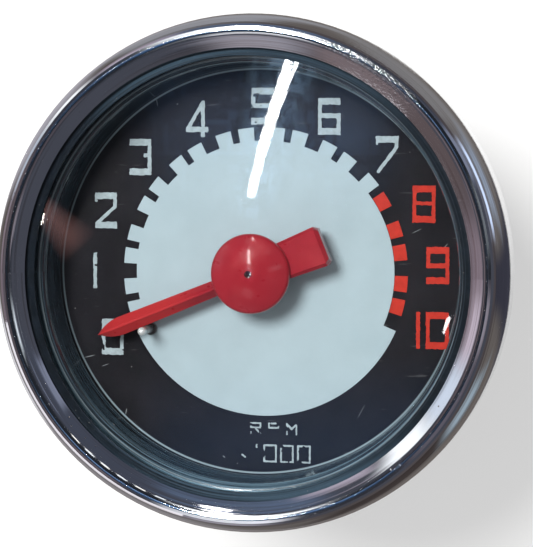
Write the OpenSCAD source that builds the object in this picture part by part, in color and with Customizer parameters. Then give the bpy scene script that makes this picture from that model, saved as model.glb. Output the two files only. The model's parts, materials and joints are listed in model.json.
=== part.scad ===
// A mechanical motorcycle tachometer: chromed bezel, flat glass, printed dial, moulded pointer and a
// magnetic movement in a drawn steel case.
// The origin lies on the pointer's axis, in the plane of the bezel's rear edge. +Z points out of the
// glass and +Y to the top of the dial. All sizes are in millimetres.

/* [Bezel] */
// Overhang of the bezel beyond the case's barrel
bezel_overhang = 2.5; // [2.4:0.05:3]
// Sheet thickness of the bezel
bezel_t = 0.7; // [0.6:0.05:0.8]
// Distance from the bezel's outside in to its crest
crest_inset = 2.3; // [2:0.05:2.5]
// Width of the bezel's face, from its crest in to the window
face_w = 2.2; // [2:0.05:2.6]
// Height of the bezel's straight skirt above the seat plane
skirt_h = 6.3; // [5:0.1:7.5]
// Slope of the bezel's face, from the window up to the crest
face_slope = 35; // [30:1:38]
// Radius of the bend at the crest
crest_bend = 1.3; // [1:0.1:1.6]
// Radius of the bend at the bezel's rear edge
rear_bend = 0.9; // [0.8:0.05:1]
// Gap between the rolled rear edge and the case's barrel
rear_gap = 0.9; // [0.85:0.05:1]

/* [Case] */
// Outer diameter of the case's barrel
barrel_d = 60; // [59.6:0.1:60.3]
// Wall thickness of the case
case_t = 0.8; // [0.6:0.05:1]
// Length of the straight barrel behind the seat plane
barrel_l = 17; // [14:0.5:18]
// Depth of the case behind the seat plane
case_depth = 30; // [29:0.5:36]
// Angle of the case's tapered rear part
case_taper = 20; // [15:1:24]
// Radius of the bend from the barrel to the taper
shoulder_bend = 8; // [6:0.5:10]
// Radius of the case's rear corner
corner_bend = 5; // [4:0.5:6]
// Radius of the bend from the barrel to the flange
flange_bend = 1.2; // [1:0.05:1.25]

/* [Glass] */
// Width of the glass's rim under the bezel's lip
glass_cover = 1.5; // [1.2:0.05:1.7]
// Thickness of the glass
glass_t = 1.5; // [1.3:0.1:2.2]
// Bevel round both edges of the glass
glass_bevel = 0.2; // [0.1:0.05:0.3]
// Thickness of the gasket between the glass and the bezel's lip
gasket_t = 0.5; // [0.4:0.05:0.8]
// Thickness of the gasket round the glass's rim
gasket_rim = 1.1; // [0.9:0.05:1.2]
// Width of the gasket that shows inside the window
gasket_show = 1; // [0.6:0.1:1.2]

/* [Spacer ring] */
// Height of the spacer ring, from the dial to the glass
spacer_h = 7.1; // [7:0.1:7.8]
// Distance from the window's edge in to the foot of the spacer ring
spacer_inset = 2; // [1.8:0.05:2.2]
// Sheet thickness of the spacer ring
spacer_t = 0.5; // [0.4:0.05:0.6]
// Radius of the spacer ring's two bends
spacer_bend = 0.8; // [0.6:0.1:1]
// Lean of the spacer ring's wall, wider towards the glass
spacer_lean = 3; // [0:0.5:5]

/* [Dial] */
// Thickness of the dial plate
dial_t = 0.8; // [0.6:0.1:1]
// Diameter of the hole in the dial for the pointer's staff
dial_hole_d = 5; // [4:0.2:6]
// Thickness of the white and red layers on the dial
layer_t = 0.1; // [0.06:0.02:0.16]
// Diameter of the white field over its teeth
field_d = 36.9; // [36:0.1:38]
// Depth of the notches between the teeth
tooth_depth = 1.7; // [1.2:0.1:2]
// Distance that the print sits to the right of the pointer's axis
print_shift = 0.8; // [0:0.1:1]
// Direction of the zero mark, counter-clockwise from three o'clock
scale_start = 202.5; // [200:0.5:205]
// Angle of the whole scale, clockwise from zero
scale_sweep = 222.5; // [215:0.5:230]
// Number of thousands on the scale
thousands = 10; // [8:1:12]
// Angle of the wide notch at each full thousand
wide_notch_angle = 6.3; // [5:0.1:7]
// Angle of the narrow notch at each half thousand
narrow_notch_angle = 3.1; // [2.5:0.1:4]
// Reading at which the red teeth start
red_reading = 7.5; // [6.5:0.5:7.5]

/* [Stop pin] */
// Diameter of the stop pin
stop_d = 1; // [0.8:0.1:1.2]
// Height of the stop pin above the dial
stop_h = 5.4; // [5:0.1:5.8]
// Distance of the stop pin from the pointer's axis
stop_r = 15.9; // [15.4:0.1:16.2]
// Diameter of the stop pin's shoulder
stop_shoulder_d = 1.6; // [1.4:0.1:1.8]
// Height of the stop pin's shoulder
stop_shoulder_h = 0.6; // [0.4:0.1:0.8]
// Gap between the stop pin and the resting pointer
stop_gap = 0.05; // [0.03:0.01:0.1]

/* [Pointer] */
// Direction of the resting pointer, counter-clockwise from three o'clock
pointer_rest = 202; // [201:0.5:203]
// Distance from the axis to the pointer's tip
tip_r = 21.9; // [21:0.1:22.5]
// Height of the pointer's underside above the dial
pointer_gap = 2.6; // [2.4:0.1:3]
// Width of the needle where it leaves the hub
needle_root_w = 2; // [1.8:0.1:2.2]
// Greatest width of the needle, near its tip
needle_end_w = 2.35; // [2.2:0.05:2.6]
// Length of the needle's curved point
point_l = 3.4; // [2.8:0.1:3.8]
// Thickness of the needle at its ridge
needle_h = 1.5; // [1.2:0.1:1.8]
// Diameter of the pointer's hub
hub_d = 10.1; // [9.6:0.1:10.6]
// Height of the hub's apex above the dial
hub_top = 6.8; // [6.4:0.1:6.9]
// Rise of the hub's dome from its edge to its apex
hub_rise = 1.3; // [1:0.1:1.6]
// Radius round the edge of the hub
hub_edge = 0.7; // [0.5:0.1:0.9]
// Height of the hub's underside above the dial
hub_gap = 1.4; // [1.1:0.1:1.6]
// Draft of the hub's side
hub_draft = 9; // [4:1:12]
// Diameter of the hole at the hub's apex
apex_hole_d = 0.9; // [0.7:0.1:1]
// Distance from the axis to the end of the tail
tail_r = 9.9; // [9:0.1:10.5]
// Width of the tail where it leaves the hub
tail_root_w = 4.7; // [4.4:0.1:5]
// Width of the tail at its end
tail_end_w = 5.2; // [5:0.1:5.6]
// Thickness of the tail
tail_h = 2.2; // [1.8:0.1:2.5]
// Length of the bevel at the end of the tail
tail_bevel = 0.5; // [0.3:0.1:0.8]
// Diameter of the brass bush in the hub
bush_d = 3; // [2.6:0.1:3.4]
// Length of the brass bush in the hub
bush_l = 4.2; // [3.6:0.1:4.6]

/* [Cup and hairspring] */
// Diameter of the pointer's staff
staff_d = 1.2; // [1:0.05:1.4]
// Diameter of the staff's lower pivot
pivot_d = 0.44; // [0.4:0.02:0.5]
// Inner diameter of the drag cup
cup_d = 20.6; // [20.2:0.1:21]
// Wall thickness of the drag cup
cup_t = 0.4; // [0.3:0.05:0.5]
// Gap between the spindle's head and the drag cup
cup_gap = 0.8; // [0.6:0.1:1]
// Height of the drag cup's hub above the cup
cup_hub_h = 1.5; // [1.2:0.1:1.8]
// Diameter of the hairspring's collet
collet_d = 3.8; // [3.4:0.1:4.2]
// Height of the hairspring's collet
collet_h = 1.4; // [1.2:0.1:1.6]
// Gap between the pieces stacked on the staff
stack_gap = 0.5; // [0.4:0.1:0.8]
// Thickness of the hairspring's strip
strip_t = 0.25; // [0.2:0.05:0.3]
// Width of the hairspring's strip
strip_w = 0.6; // [0.5:0.1:0.8]
// Number of turns of the hairspring
turns = 5; // [4:1:6]
// Radius of the hairspring at its stud
spring_r = 8.2; // [7.6:0.1:8.6]
// Diameter of the hairspring's stud
stud_post_d = 1.8; // [1.6:0.1:2]
// Thickness of the regulator arm
arm_t = 0.6; // [0.5:0.1:0.8]
// Diameter of the ring at the root of the regulator arm
arm_ring_d = 8.4; // [8:0.1:9]
// Width of the regulator arm
arm_w = 2.6; // [2.4:0.1:3]
// Length of the regulator arm's finger, from the axis
finger_r = 10; // [9:0.5:11]

/* [Movement frame] */
// Thickness of the frame's base
base_t = 3; // [2.6:0.1:3.6]
// Width of the frame's base beyond its pillars
base_rim = 0.5; // [0.4:0.1:1]
// Width of the frame's base
base_w = 20; // [19:0.5:21]
// Distance of the pillars from the axis
pillar_r = 16; // [15.8:0.1:16.2]
// Diameter of the pillars
pillar_d = 6; // [5.6:0.1:6.2]
// Thickness of the upper bridge
bridge_t = 1.2; // [1:0.1:1.6]
// Width of the upper bridge
bridge_w = 6.8; // [6.4:0.1:7.4]
// Diameter of the upper bridge's middle
bridge_mid_d = 13; // [12:0.5:14]
// Diameter of the upper bearing's body
bearing_d = 4.4; // [4:0.1:4.8]
// Diameter of the upper bearing's collar
bearing_collar_d = 6; // [5.6:0.1:6.4]
// Thickness of the upper bearing's collar
bearing_collar_h = 0.4; // [0.3:0.1:0.6]
// Height of the upper bearing's riveted rim
bearing_rim_h = 0.3; // [0.2:0.1:0.4]
// Inner diameter of the field ring
field_ring_d = 22.6; // [22.4:0.1:23]
// Wall thickness of the field ring
field_ring_t = 1; // [0.8:0.1:1.2]
// Height of the spigot that the field ring is pressed over
spigot_h = 1; // [0.8:0.1:1.4]

/* [Magnet and drive] */
// Outer diameter of the magnet
magnet_d = 19; // [18.6:0.1:19.4]
// Height of the magnet
magnet_h = 5; // [4.5:0.1:5.5]
// Thickness of the magnet's carrier
carrier_t = 1.2; // [1:0.1:1.5]
// Diameter of the temperature compensating disc
compensator_d = 17; // [16:0.5:18]
// Thickness of the temperature compensating disc
compensator_t = 0.4; // [0.3:0.1:0.5]
// Diameter of the drive spindle in its bush
spindle_d = 5.2; // [5:0.1:5.6]
// Diameter of the drive spindle inside the magnet
magnet_seat_d = 5; // [4.6:0.1:5.4]
// Diameter of the drive spindle's collar
collar_d = 9; // [8.6:0.1:9.4]
// Height of the drive spindle's collar
collar_h = 1.5; // [1.2:0.1:1.8]
// Diameter of the drive spindle's riveted head
rivet_d = 6.4; // [6:0.1:7]
// Height of the drive spindle's riveted head
rivet_h = 0.4; // [0.3:0.1:0.5]
// Width across the square socket for the cable
square_w = 2.8; // [2.7:0.05:2.9]
// Depth of the square socket
square_l = 9; // [7:0.5:11]
// Diameter of the jewel in the spindle's head
jewel_d = 2.4; // [2.2:0.1:2.6]
// Height of the jewel
jewel_h = 1.2; // [1.1:0.1:1.4]
// Depth of the pivot hole in the jewel
jewel_hole_l = 0.8; // [0.7:0.05:0.9]

/* [Cable neck] */
// Diameter over the neck's thread
neck_d = 12; // [11.6:0.1:12.4]
// Length of the neck behind the case
neck_l = 17; // [16:0.5:20]
// Chamfer at the neck's end
neck_chamfer = 0.7; // [0.5:0.1:1]
// Diameter of the neck where it sits in the case
neck_root_d = 13; // [12.8:0.1:13.4]
// Length of the neck's root that stands out of the case
neck_root_l = 0.4; // [0.3:0.1:0.8]
// Length of the groove between the neck's root and its thread
relief_l = 0.8; // [0.6:0.1:1]
// Depth of the groove between the neck's root and its thread
relief_t = 0.5; // [0.3:0.05:0.6]
// Diameter of the bore for the cable's ferrule
ferrule_d = 8; // [7.8:0.1:8.2]
// Depth of the bore for the cable's ferrule
ferrule_l = 6; // [5:0.5:6.5]
// Diameter of the room for the retaining clip
clip_room_d = 7; // [6.9:0.1:7.2]
// Length of the room for the retaining clip
clip_room_l = 1.6; // [1.4:0.1:1.8]
// Outer diameter of the retaining clip
clip_d = 6.4; // [6.2:0.1:6.6]
// Diameter of the spindle in its clip groove
groove_d = 4.4; // [4.2:0.1:4.6]
// Thickness of the retaining clip
clip_t = 0.4; // [0.3:0.05:0.5]
// Outer diameter of the drive bush
drive_bush_d = 8; // [7.8:0.1:8.2]
// Height of the oil felt
felt_h = 2; // [1.5:0.1:2.4]
// Thickness of the thrust washer
washer_t = 0.4; // [0.3:0.1:0.5]
// Diameter of the thrust washer
washer_d = 9.6; // [9.4:0.1:10]
// Outer diameter of the neck seal
seal_d = 17.6; // [16:0.2:18]
// Thickness of the neck seal
seal_t = 1; // [0.8:0.1:1.4]

/* [Fasteners] */
// Thread diameter of the two mounting studs
stud_d = 5; // [4.8:0.1:5.2]
// Length of the mounting studs behind the case
stud_l = 14; // [10:0.5:16]
// Distance between the two mounting studs
stud_spacing = 34; // [33.6:0.1:34.4]
// Diameter of the studs' collars in the case's wall
stud_collar_d = 5.8; // [5.6:0.1:6]
// Height of the studs' collars outside the case
stud_collar_h = 0.4; // [0.3:0.1:0.6]
// Diameter of the studs' heads inside the case
stud_head_d = 8; // [7.4:0.1:8.2]
// Height of the studs' heads
stud_head_h = 1.2; // [1:0.1:1.5]
// Thread diameter of the frame screws
frame_screw_d = 3; // [2.8:0.1:3.2]
// Length of the frame screws inside the case
frame_screw_l = 6; // [4:0.5:7]
// Thread diameter of the bridge screws
bridge_screw_d = 2.5; // [2.2:0.1:2.7]
// Length of the bridge screws below the bridge
bridge_screw_l = 5; // [4:0.5:6]
// Thickness of the washers under the frame screws
screw_washer_t = 0.8; // [0.6:0.1:1]

/* [Fits] */
// Radial clearance of a shaft that runs in its bearing
running = 0.03; // [0.02:0.01:0.06]
// Axial play of the turning pieces
play = 0.05; // [0.03:0.01:0.1]
// Radial clearance of a fastener, or of the neck, in its hole
loose = 0.15; // [0.1:0.05:0.2]
// Clearance of the hairspring's end in the slit of its stud
slit_gap = 0.12; // [0.1:0.01:0.2]

/* [Hidden] */

// Facets of a full circle, and steps of one bend
$fn = 96;
bend_steps = 8;
flank_steps = 14;
// Overlap by which a cut runs past a face
past = 0.5;

// Diameters from the bezel's outside in to the spacer ring's foot
bezel_d = barrel_d + 2 * bezel_overhang;
crest_d = bezel_d - 2 * crest_inset;
window_d = crest_d - 2 * face_w;
glass_d = window_d + 2 * glass_cover;
gasket_d = glass_d + 2 * gasket_rim;
spacer_d = window_d - 2 * spacer_inset;

// Heights from the seat plane up to the bezel's crest
flange_z = bezel_t;
dial_z = flange_z + case_t;
face_z = dial_z + dial_t;
glass_z = face_z + spacer_h;
glass_top_z = glass_z + glass_t;
lip_z = glass_top_z + gasket_t;

// The bezel's middle surface
bezel_mid_r = (bezel_d - bezel_t) / 2;
lip_mid_r = window_d / 2 + bezel_t / 2 * sin(face_slope);
lip_mid_z = lip_z + bezel_t / 2 * cos(face_slope);
slope_end_r = crest_d / 2 - crest_bend * sin(face_slope);
slope_end_z = lip_mid_z + (slope_end_r - lip_mid_r) * tan(face_slope);
crest_z = slope_end_z + crest_bend * (1 - cos(face_slope));
roll_r = bezel_mid_r - rear_bend;
roll_z = bezel_t / 2 + rear_bend;

// The clamped rims of the case and the dial
rim_r = roll_r - play;

// Heights of the movement, from the case's rear wall up to the staff's end
rear_z = -case_depth;
wall_z = rear_z + case_t;
base_z = wall_z + base_t;
collar_z = base_z + washer_t + play;
carrier_z = collar_z + collar_h;
magnet_z = carrier_z + carrier_t;
compensator_z = magnet_z + magnet_h;
rivet_z = compensator_z + compensator_t;
spindle_top_z = rivet_z + rivet_h;
cup_z = spindle_top_z + cup_gap;
cup_top_z = cup_z + cup_t;
collet_z = cup_top_z + cup_hub_h + stack_gap;
bearing_z = collet_z + collet_h + stack_gap;
arm_z = bearing_z + bearing_collar_h + play;
bridge_z = arm_z + arm_t + play;
bridge_top_z = bridge_z + bridge_t;
pointer_bush_z = face_z + hub_gap;
staff_top_z = pointer_bush_z + bush_l;

// Diameter over the ends of the frame's base
base_d = 2 * (pillar_r + base_rim) + pillar_d;

// Heights of the drive in the neck
neck_end_z = rear_z - neck_l;
ferrule_z = neck_end_z + ferrule_l;
drive_bush_z = ferrule_z + clip_room_l;
felt_z = base_z - felt_h;
clip_z = drive_bush_z - play - clip_t;
spindle_end_z = clip_z - 2 * clip_t;

// Angle of one thousand, and the place of the stop pin beside the resting needle
step_angle = scale_sweep / thousands;
notch_r = field_d / 2 - tooth_depth;
needle_start_r = hub_d / 2 - 1;
needle_half_w = lerp(needle_root_w, needle_end_w,
    (stop_r - needle_start_r) / (tip_r - point_l - needle_start_r)) / 2;
stop_angle = pointer_rest + asin((needle_half_w + stop_d / 2 + stop_gap) / stop_r);

// The hairspring runs from its collet out to its stud, which sits under the regulator arm
spring_inner_r = (collet_d + strip_t) / 2 + play;
spring_z = collet_z + (collet_h - strip_w) / 2;
arm_angle = 150;
post_z = spring_z - strip_w / 2;

function lerp(a, b, f) = a + (b - a) * f;
function ray(angle) = [cos(angle), sin(angle)];

// A station is [radius, height, direction of the sheet's outer side]
function bend(c, r, from, to, flip = 0) =
    [for (i = [0:bend_steps]) let(a = lerp(from, to, i / bend_steps))
        [c[0] + r * cos(a), c[1] + r * sin(a), a + flip]];
function side(s, offset) = [s[0], s[1]] + offset * ray(s[2]);

// A ring of bent sheet of thickness t round the Z axis, from stations along its middle surface
module sheet_ring(stations, t) {
    last = len(stations) - 1;
    rotate_extrude()
        polygon(concat([for (s = stations) side(s, t / 2)],
            [for (i = [last:-1:0]) side(stations[i], -t / 2)]));
}

module tube(r_out, r_in, z0, z1) {
    rotate_extrude()
        polygon([[r_in, z0], [r_out, z0], [r_out, z1], [r_in, z1]]);
}

module rod(r, z0, z1) {
    translate([0, 0, z0])
        cylinder(r = r, h = z1 - z0);
}

// A ring sector of the dial, from angle a to angle b
module sector(r_in, r_out, a, b) {
    steps = max(1, ceil(abs(b - a) / 4));
    polygon(concat([for (i = [0:steps]) r_out * ray(lerp(a, b, i / steps))],
        [for (i = [steps:-1:0]) r_in * ray(lerp(a, b, i / steps))]));
}

// Direction of a reading on the scale, and half the angle of its notch
function reading(v) = scale_start - v * step_angle;
function half_notch(v) = (v == floor(v) ? wide_notch_angle : narrow_notch_angle) / 2;

// A cheese head screw along +Z: its head lies below z = 0 and its shank above
module cheese_screw(d, l) {
    head_r = d * 0.9;
    head_h = d * 0.65;
    slot_w = d * 0.25;
    difference() {
        union() {
            rod(head_r, -head_h, 0);
            rod(d / 2, 0, l);
        }
        translate([-head_r - past, -slot_w / 2, -head_h - past])
            cube([2 * (head_r + past), slot_w, past + head_h / 2]);
    }
}

// A bar with sloping shoulders along +X.
// A station is [x, half width, half width on top, side height, height]
module shouldered_bar(stations) {
    last = len(stations) - 1;
    points = [for (s = stations) each [[s[0], -s[1], 0], [s[0], s[1], 0], [s[0], s[1], s[3]],
        [s[0], s[2], s[4]], [s[0], -s[2], s[4]], [s[0], -s[1], s[3]]]];
    sides = [for (i = [0:last - 1], k = [0:5]) let(a = 6 * i + k, b = 6 * i + (k + 1) % 6)
        each [[a, b + 6, b], [a, a + 6, b + 6]]];
    ends = [[for (k = [0:5]) k], [for (k = [5:-1:0]) 6 * last + k]];
    polyhedron(points, concat(sides, ends));
}

module bezel() {
    color("gainsboro")
        sheet_ring(concat(
            [[lip_mid_r, lip_mid_z, 90 + face_slope]],
            bend([crest_d / 2, crest_z - crest_bend], crest_bend, 90 + face_slope, 90),
            [for (i = [1:flank_steps])
                let(a = 90 * i / flank_steps, w = bezel_mid_r - crest_d / 2, h = crest_z - skirt_h)
                    [crest_d / 2 + w * sin(a), skirt_h + h * cos(a), atan2(w * cos(a), h * sin(a))]],
            bend([roll_r, roll_z], rear_bend, 0, -90),
            [[barrel_d / 2 + rear_gap, bezel_t / 2, -90]]), bezel_t);
}

module lens_gasket() {
    under_r = window_d / 2 + bezel_t * sin(face_slope);
    under_end_r = slope_end_r + bezel_t / 2 * sin(face_slope);
    under_end_z = slope_end_z - bezel_t / 2 * cos(face_slope);
    show_r = window_d / 2 - gasket_show;
    color([0.06, 0.06, 0.07])
        rotate_extrude()
            polygon([[show_r, glass_top_z], [glass_d / 2, glass_top_z], [glass_d / 2, glass_z],
                [gasket_d / 2, glass_z], [gasket_d / 2, lip_z], [under_end_r, under_end_z],
                [under_r, lip_z], [show_r, glass_top_z + gasket_t * 0.7]]);
}

module lens() {
    r = glass_d / 2;
    b = glass_bevel;
    color([0.8, 0.9, 0.95, 0.3])
        rotate_extrude()
            polygon([[0, glass_z], [r - b, glass_z], [r, glass_z + b], [r, glass_top_z - b],
                [r - b, glass_top_z], [0, glass_top_z]]);
}

module spacer_ring() {
    foot_r = spacer_d / 2 + spacer_t / 2 + spacer_bend;
    foot_z = face_z + spacer_t / 2 + spacer_bend;
    head_z = glass_z - spacer_t / 2 - spacer_bend;
    head_r = foot_r + (head_z - foot_z) * tan(spacer_lean);
    color([0.12, 0.12, 0.13])
        sheet_ring(concat(
            [[rim_r, face_z + spacer_t / 2, 270]],
            bend([foot_r, foot_z], spacer_bend, 270, 180 - spacer_lean),
            bend([head_r, head_z], spacer_bend, 180 - spacer_lean, 90),
            [[gasket_d / 2, glass_z - spacer_t / 2, 90]]), spacer_t);
}

module stop_hole(z0, z1) {
    rotate(stop_angle)
        translate([stop_r, 0, 0])
            rod(stop_d / 2, z0, z1);
}

module dial() {
    color([0.09, 0.09, 0.1])
        difference() {
            rod(rim_r, dial_z, face_z);
            rod(dial_hole_d / 2, dial_z - past, face_z + past);
            stop_hole(dial_z - past, face_z + past);
        }
}

// Notches cut the white field's rim up to the first red tooth, the red teeth stand in one wide recess,
// and the rim is plain past the last mark
module white_field() {
    cut_r = field_d / 2 + past;
    color([0.8, 0.86, 0.88])
        translate([0, 0, face_z])
            linear_extrude(layer_t)
                difference() {
                    translate([print_shift, 0])
                        difference() {
                            circle(d = field_d);
                            for (v = [0:0.5:red_reading - 0.5])
                                sector(notch_r, cut_r, reading(v) - half_notch(v),
                                    reading(v) + half_notch(v));
                            sector(notch_r, cut_r, reading(thousands) - half_notch(thousands),
                                reading(red_reading) + half_notch(red_reading));
                        }
                    circle(d = dial_hole_d);
                    translate(stop_r * ray(stop_angle))
                        circle(d = stop_d);
                }
}

module red_teeth() {
    color([0.8, 0.2, 0.16])
        translate([print_shift, 0, face_z])
            linear_extrude(layer_t)
                for (v = [red_reading:0.5:thousands - 0.5])
                    sector(notch_r + play, field_d / 2, reading(v) - half_notch(v),
                        reading(v + 0.5) + half_notch(v + 0.5));
}

module stop_pin() {
    r = stop_d / 2;
    seat_z = face_z + layer_t;
    foot_z = dial_z - stop_shoulder_h / 2;
    color([0.75, 0.76, 0.78])
        rotate(stop_angle)
            translate([stop_r, 0, 0])
                rotate_extrude()
                    polygon([[0, foot_z], [stop_shoulder_d / 2, foot_z], [stop_shoulder_d / 2, dial_z],
                        [r, dial_z], [r, seat_z], [stop_shoulder_d / 2, seat_z],
                        [stop_shoulder_d / 2, seat_z + stop_shoulder_h], [r, seat_z + stop_shoulder_h],
                        [r, face_z + stop_h - r / 2], [r / 2, face_z + stop_h], [0, face_z + stop_h]]);
}

// The hub is a shallow dome over a drafted side, with the staff's bush inside and a small hole at the apex
module pointer_hub() {
    r = hub_d / 2;
    sphere_r = (r * r + hub_rise * hub_rise) / (2 * hub_rise);
    apex_z = face_z + hub_top;
    edge_angle = asin((r - hub_edge) / (sphere_r - hub_edge));
    edge_z = apex_z - sphere_r + (sphere_r - hub_edge) * cos(edge_angle);
    foot_z = face_z + hub_gap;
    foot_r = r - (edge_z - foot_z) * tan(hub_draft);
    steps = 10;
    rotate_extrude()
        polygon(concat(
            [[bush_d / 2, foot_z], [bush_d / 2, staff_top_z], [apex_hole_d / 2, staff_top_z]],
            [for (i = [0:steps])
                let(a = lerp(asin(apex_hole_d / 2 / sphere_r), edge_angle, i / steps))
                    [sphere_r * sin(a), apex_z - sphere_r + sphere_r * cos(a)]],
            [for (i = [1:steps])
                let(a = lerp(90 - edge_angle, -hub_draft, i / steps))
                    [r - hub_edge + hub_edge * cos(a), edge_z + hub_edge * sin(a)]],
            [[foot_r, foot_z]]));
}

// The needle's curved point narrows and falls faster towards the tip
module pointer() {
    edge_h = 0.35 * needle_h;
    body_r = tip_r - point_l;
    start = bush_d / 2 + 0.3;
    ridge_w = 0.15;
    tip_w = 0.06;
    point_steps = 8;
    tail_edge = 0.4;
    color([0.78, 0.13, 0.17])
        union() {
            pointer_hub();
            rotate(pointer_rest)
                translate([0, 0, face_z + pointer_gap])
                    shouldered_bar([
                        [start, needle_root_w / 2, ridge_w, edge_h, needle_h],
                        [needle_start_r, needle_root_w / 2, ridge_w, edge_h, needle_h],
                        for (i = [0:point_steps])
                            let(t = i / point_steps)
                                [body_r + point_l * t, lerp(needle_end_w / 2, tip_w, t * t),
                                    lerp(ridge_w, tip_w / 2, t * t), lerp(edge_h, edge_h / 2, t * t),
                                    lerp(needle_h, edge_h, t * t)]]);
            rotate(pointer_rest + 180)
                translate([0, 0, face_z + pointer_gap])
                    shouldered_bar([
                        for (x = [start, needle_start_r])
                            [x, tail_root_w / 2, tail_root_w / 2 - tail_edge, tail_h - tail_edge, tail_h],
                        [tail_r - tail_bevel, tail_end_w / 2, tail_end_w / 2 - tail_edge,
                            tail_h - tail_edge, tail_h],
                        [tail_r, tail_end_w / 2 - tail_edge, tail_end_w / 2 - 2 * tail_edge,
                            tail_h / 2, tail_h - tail_edge]]);
        }
}

module pointer_bush() {
    color([0.75, 0.6, 0.3])
        tube(bush_d / 2, staff_d / 2, pointer_bush_z, staff_top_z);
}

module pointer_staff() {
    cone_z = spindle_top_z + play;
    pivot_z = spindle_top_z - jewel_hole_l + play;
    r = staff_d / 2;
    p = pivot_d / 2;
    color([0.7, 0.71, 0.73])
        rotate_extrude()
            polygon([[0, pivot_z], [p / 2, pivot_z], [p, pivot_z + p / 2], [p, cone_z],
                [r, cone_z + r - p], [r, staff_top_z], [0, staff_top_z]]);
}

module cup_hub() {
    spigot_r = staff_d / 2 + 0.5;
    flange_r = spigot_r + 1.1;
    color([0.75, 0.6, 0.3])
        rotate_extrude()
            polygon([[staff_d / 2, cup_z], [spigot_r, cup_z], [spigot_r, cup_top_z],
                [flange_r, cup_top_z], [flange_r, cup_top_z + cup_hub_h / 3],
                [spigot_r + 0.5, cup_top_z + cup_hub_h / 3], [spigot_r + 0.5, cup_top_z + cup_hub_h],
                [staff_d / 2, cup_top_z + cup_hub_h]]);
}

module drag_cup() {
    r = cup_d / 2;
    bend_r = 2 * cup_t;
    color([0.8, 0.81, 0.82])
        sheet_ring(concat(
            [[staff_d / 2 + 0.5, cup_top_z - cup_t / 2, 90]],
            bend([r + cup_t / 2 - bend_r, cup_top_z - cup_t / 2 - bend_r], bend_r, 90, 0),
            [[r + cup_t / 2, magnet_z, 0]]), cup_t);
}

module hairspring_collet() {
    color([0.75, 0.6, 0.3])
        tube(collet_d / 2, staff_d / 2, collet_z, collet_z + collet_h);
}

function spring_at(f, offset) =
    (lerp(spring_inner_r, spring_r, f) + offset) * ray(arm_angle + 360 * turns * (f - 1));

module hairspring() {
    steps = 24 * turns;
    color([0.55, 0.57, 0.62])
        translate([0, 0, spring_z])
            linear_extrude(strip_w)
                polygon(concat([for (i = [0:steps]) spring_at(i / steps, strip_t / 2)],
                    [for (i = [steps:-1:0]) spring_at(i / steps, -strip_t / 2)]));
}

// The hairspring's end lies in a slit across the foot of the stud
module hairspring_stud() {
    r = stud_post_d / 2;
    color([0.75, 0.6, 0.3])
        rotate(arm_angle)
            translate([spring_r, 0, 0])
                difference() {
                    union() {
                        rod(r, post_z, arm_z);
                        rod(r / 2, arm_z - past, arm_z + arm_t);
                    }
                    translate([-strip_t / 2 - slit_gap, -r - past, post_z - past])
                        cube([strip_t + 2 * slit_gap, 2 * (r + past), past + 2 * strip_w]);
                }
}

module regulator_arm() {
    color([0.72, 0.73, 0.75])
        translate([0, 0, arm_z])
            linear_extrude(arm_t)
                difference() {
                    union() {
                        circle(d = arm_ring_d);
                        rotate(arm_angle)
                            translate([0, -arm_w / 2])
                                square([spring_r, arm_w]);
                        rotate(arm_angle)
                            translate([spring_r, 0])
                                circle(d = arm_w);
                        rotate(arm_angle + 180)
                            translate([0, -arm_w / 4])
                                square([finger_r, arm_w / 2]);
                    }
                    circle(r = bearing_d / 2 + running);
                    rotate(arm_angle)
                        translate([spring_r, 0])
                            circle(d = stud_post_d / 2);
                }
}

module upper_bearing() {
    hole = staff_d / 2 + running;
    r = bearing_d / 2;
    rim_z = bridge_top_z + bearing_rim_h;
    color([0.78, 0.64, 0.34])
        rotate_extrude()
            polygon([[hole, bearing_z], [bearing_collar_d / 2, bearing_z],
                [bearing_collar_d / 2, bearing_z + bearing_collar_h], [r, bearing_z + bearing_collar_h],
                [r, bridge_top_z], [r + bearing_rim_h, bridge_top_z], [r + bearing_rim_h, rim_z],
                [hole, rim_z]]);
}

module pillar_places() {
    for (s = [-1, 1])
        translate([0, s * pillar_r, 0])
            children();
}

module upper_bridge() {
    color([0.7, 0.71, 0.73])
        translate([0, 0, bridge_z])
            linear_extrude(bridge_t)
                difference() {
                    union() {
                        square([bridge_w, 2 * pillar_r], center = true);
                        circle(d = bridge_mid_d);
                        pillar_places()
                            circle(d = bridge_w);
                    }
                    circle(d = bearing_d);
                    pillar_places()
                        circle(d = bridge_screw_d);
                }
}

module bridge_screws() {
    color([0.6, 0.61, 0.63])
        pillar_places()
            translate([0, 0, bridge_top_z])
                rotate([180, 0, 0])
                    cheese_screw(bridge_screw_d, bridge_t + bridge_screw_l);
}

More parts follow.
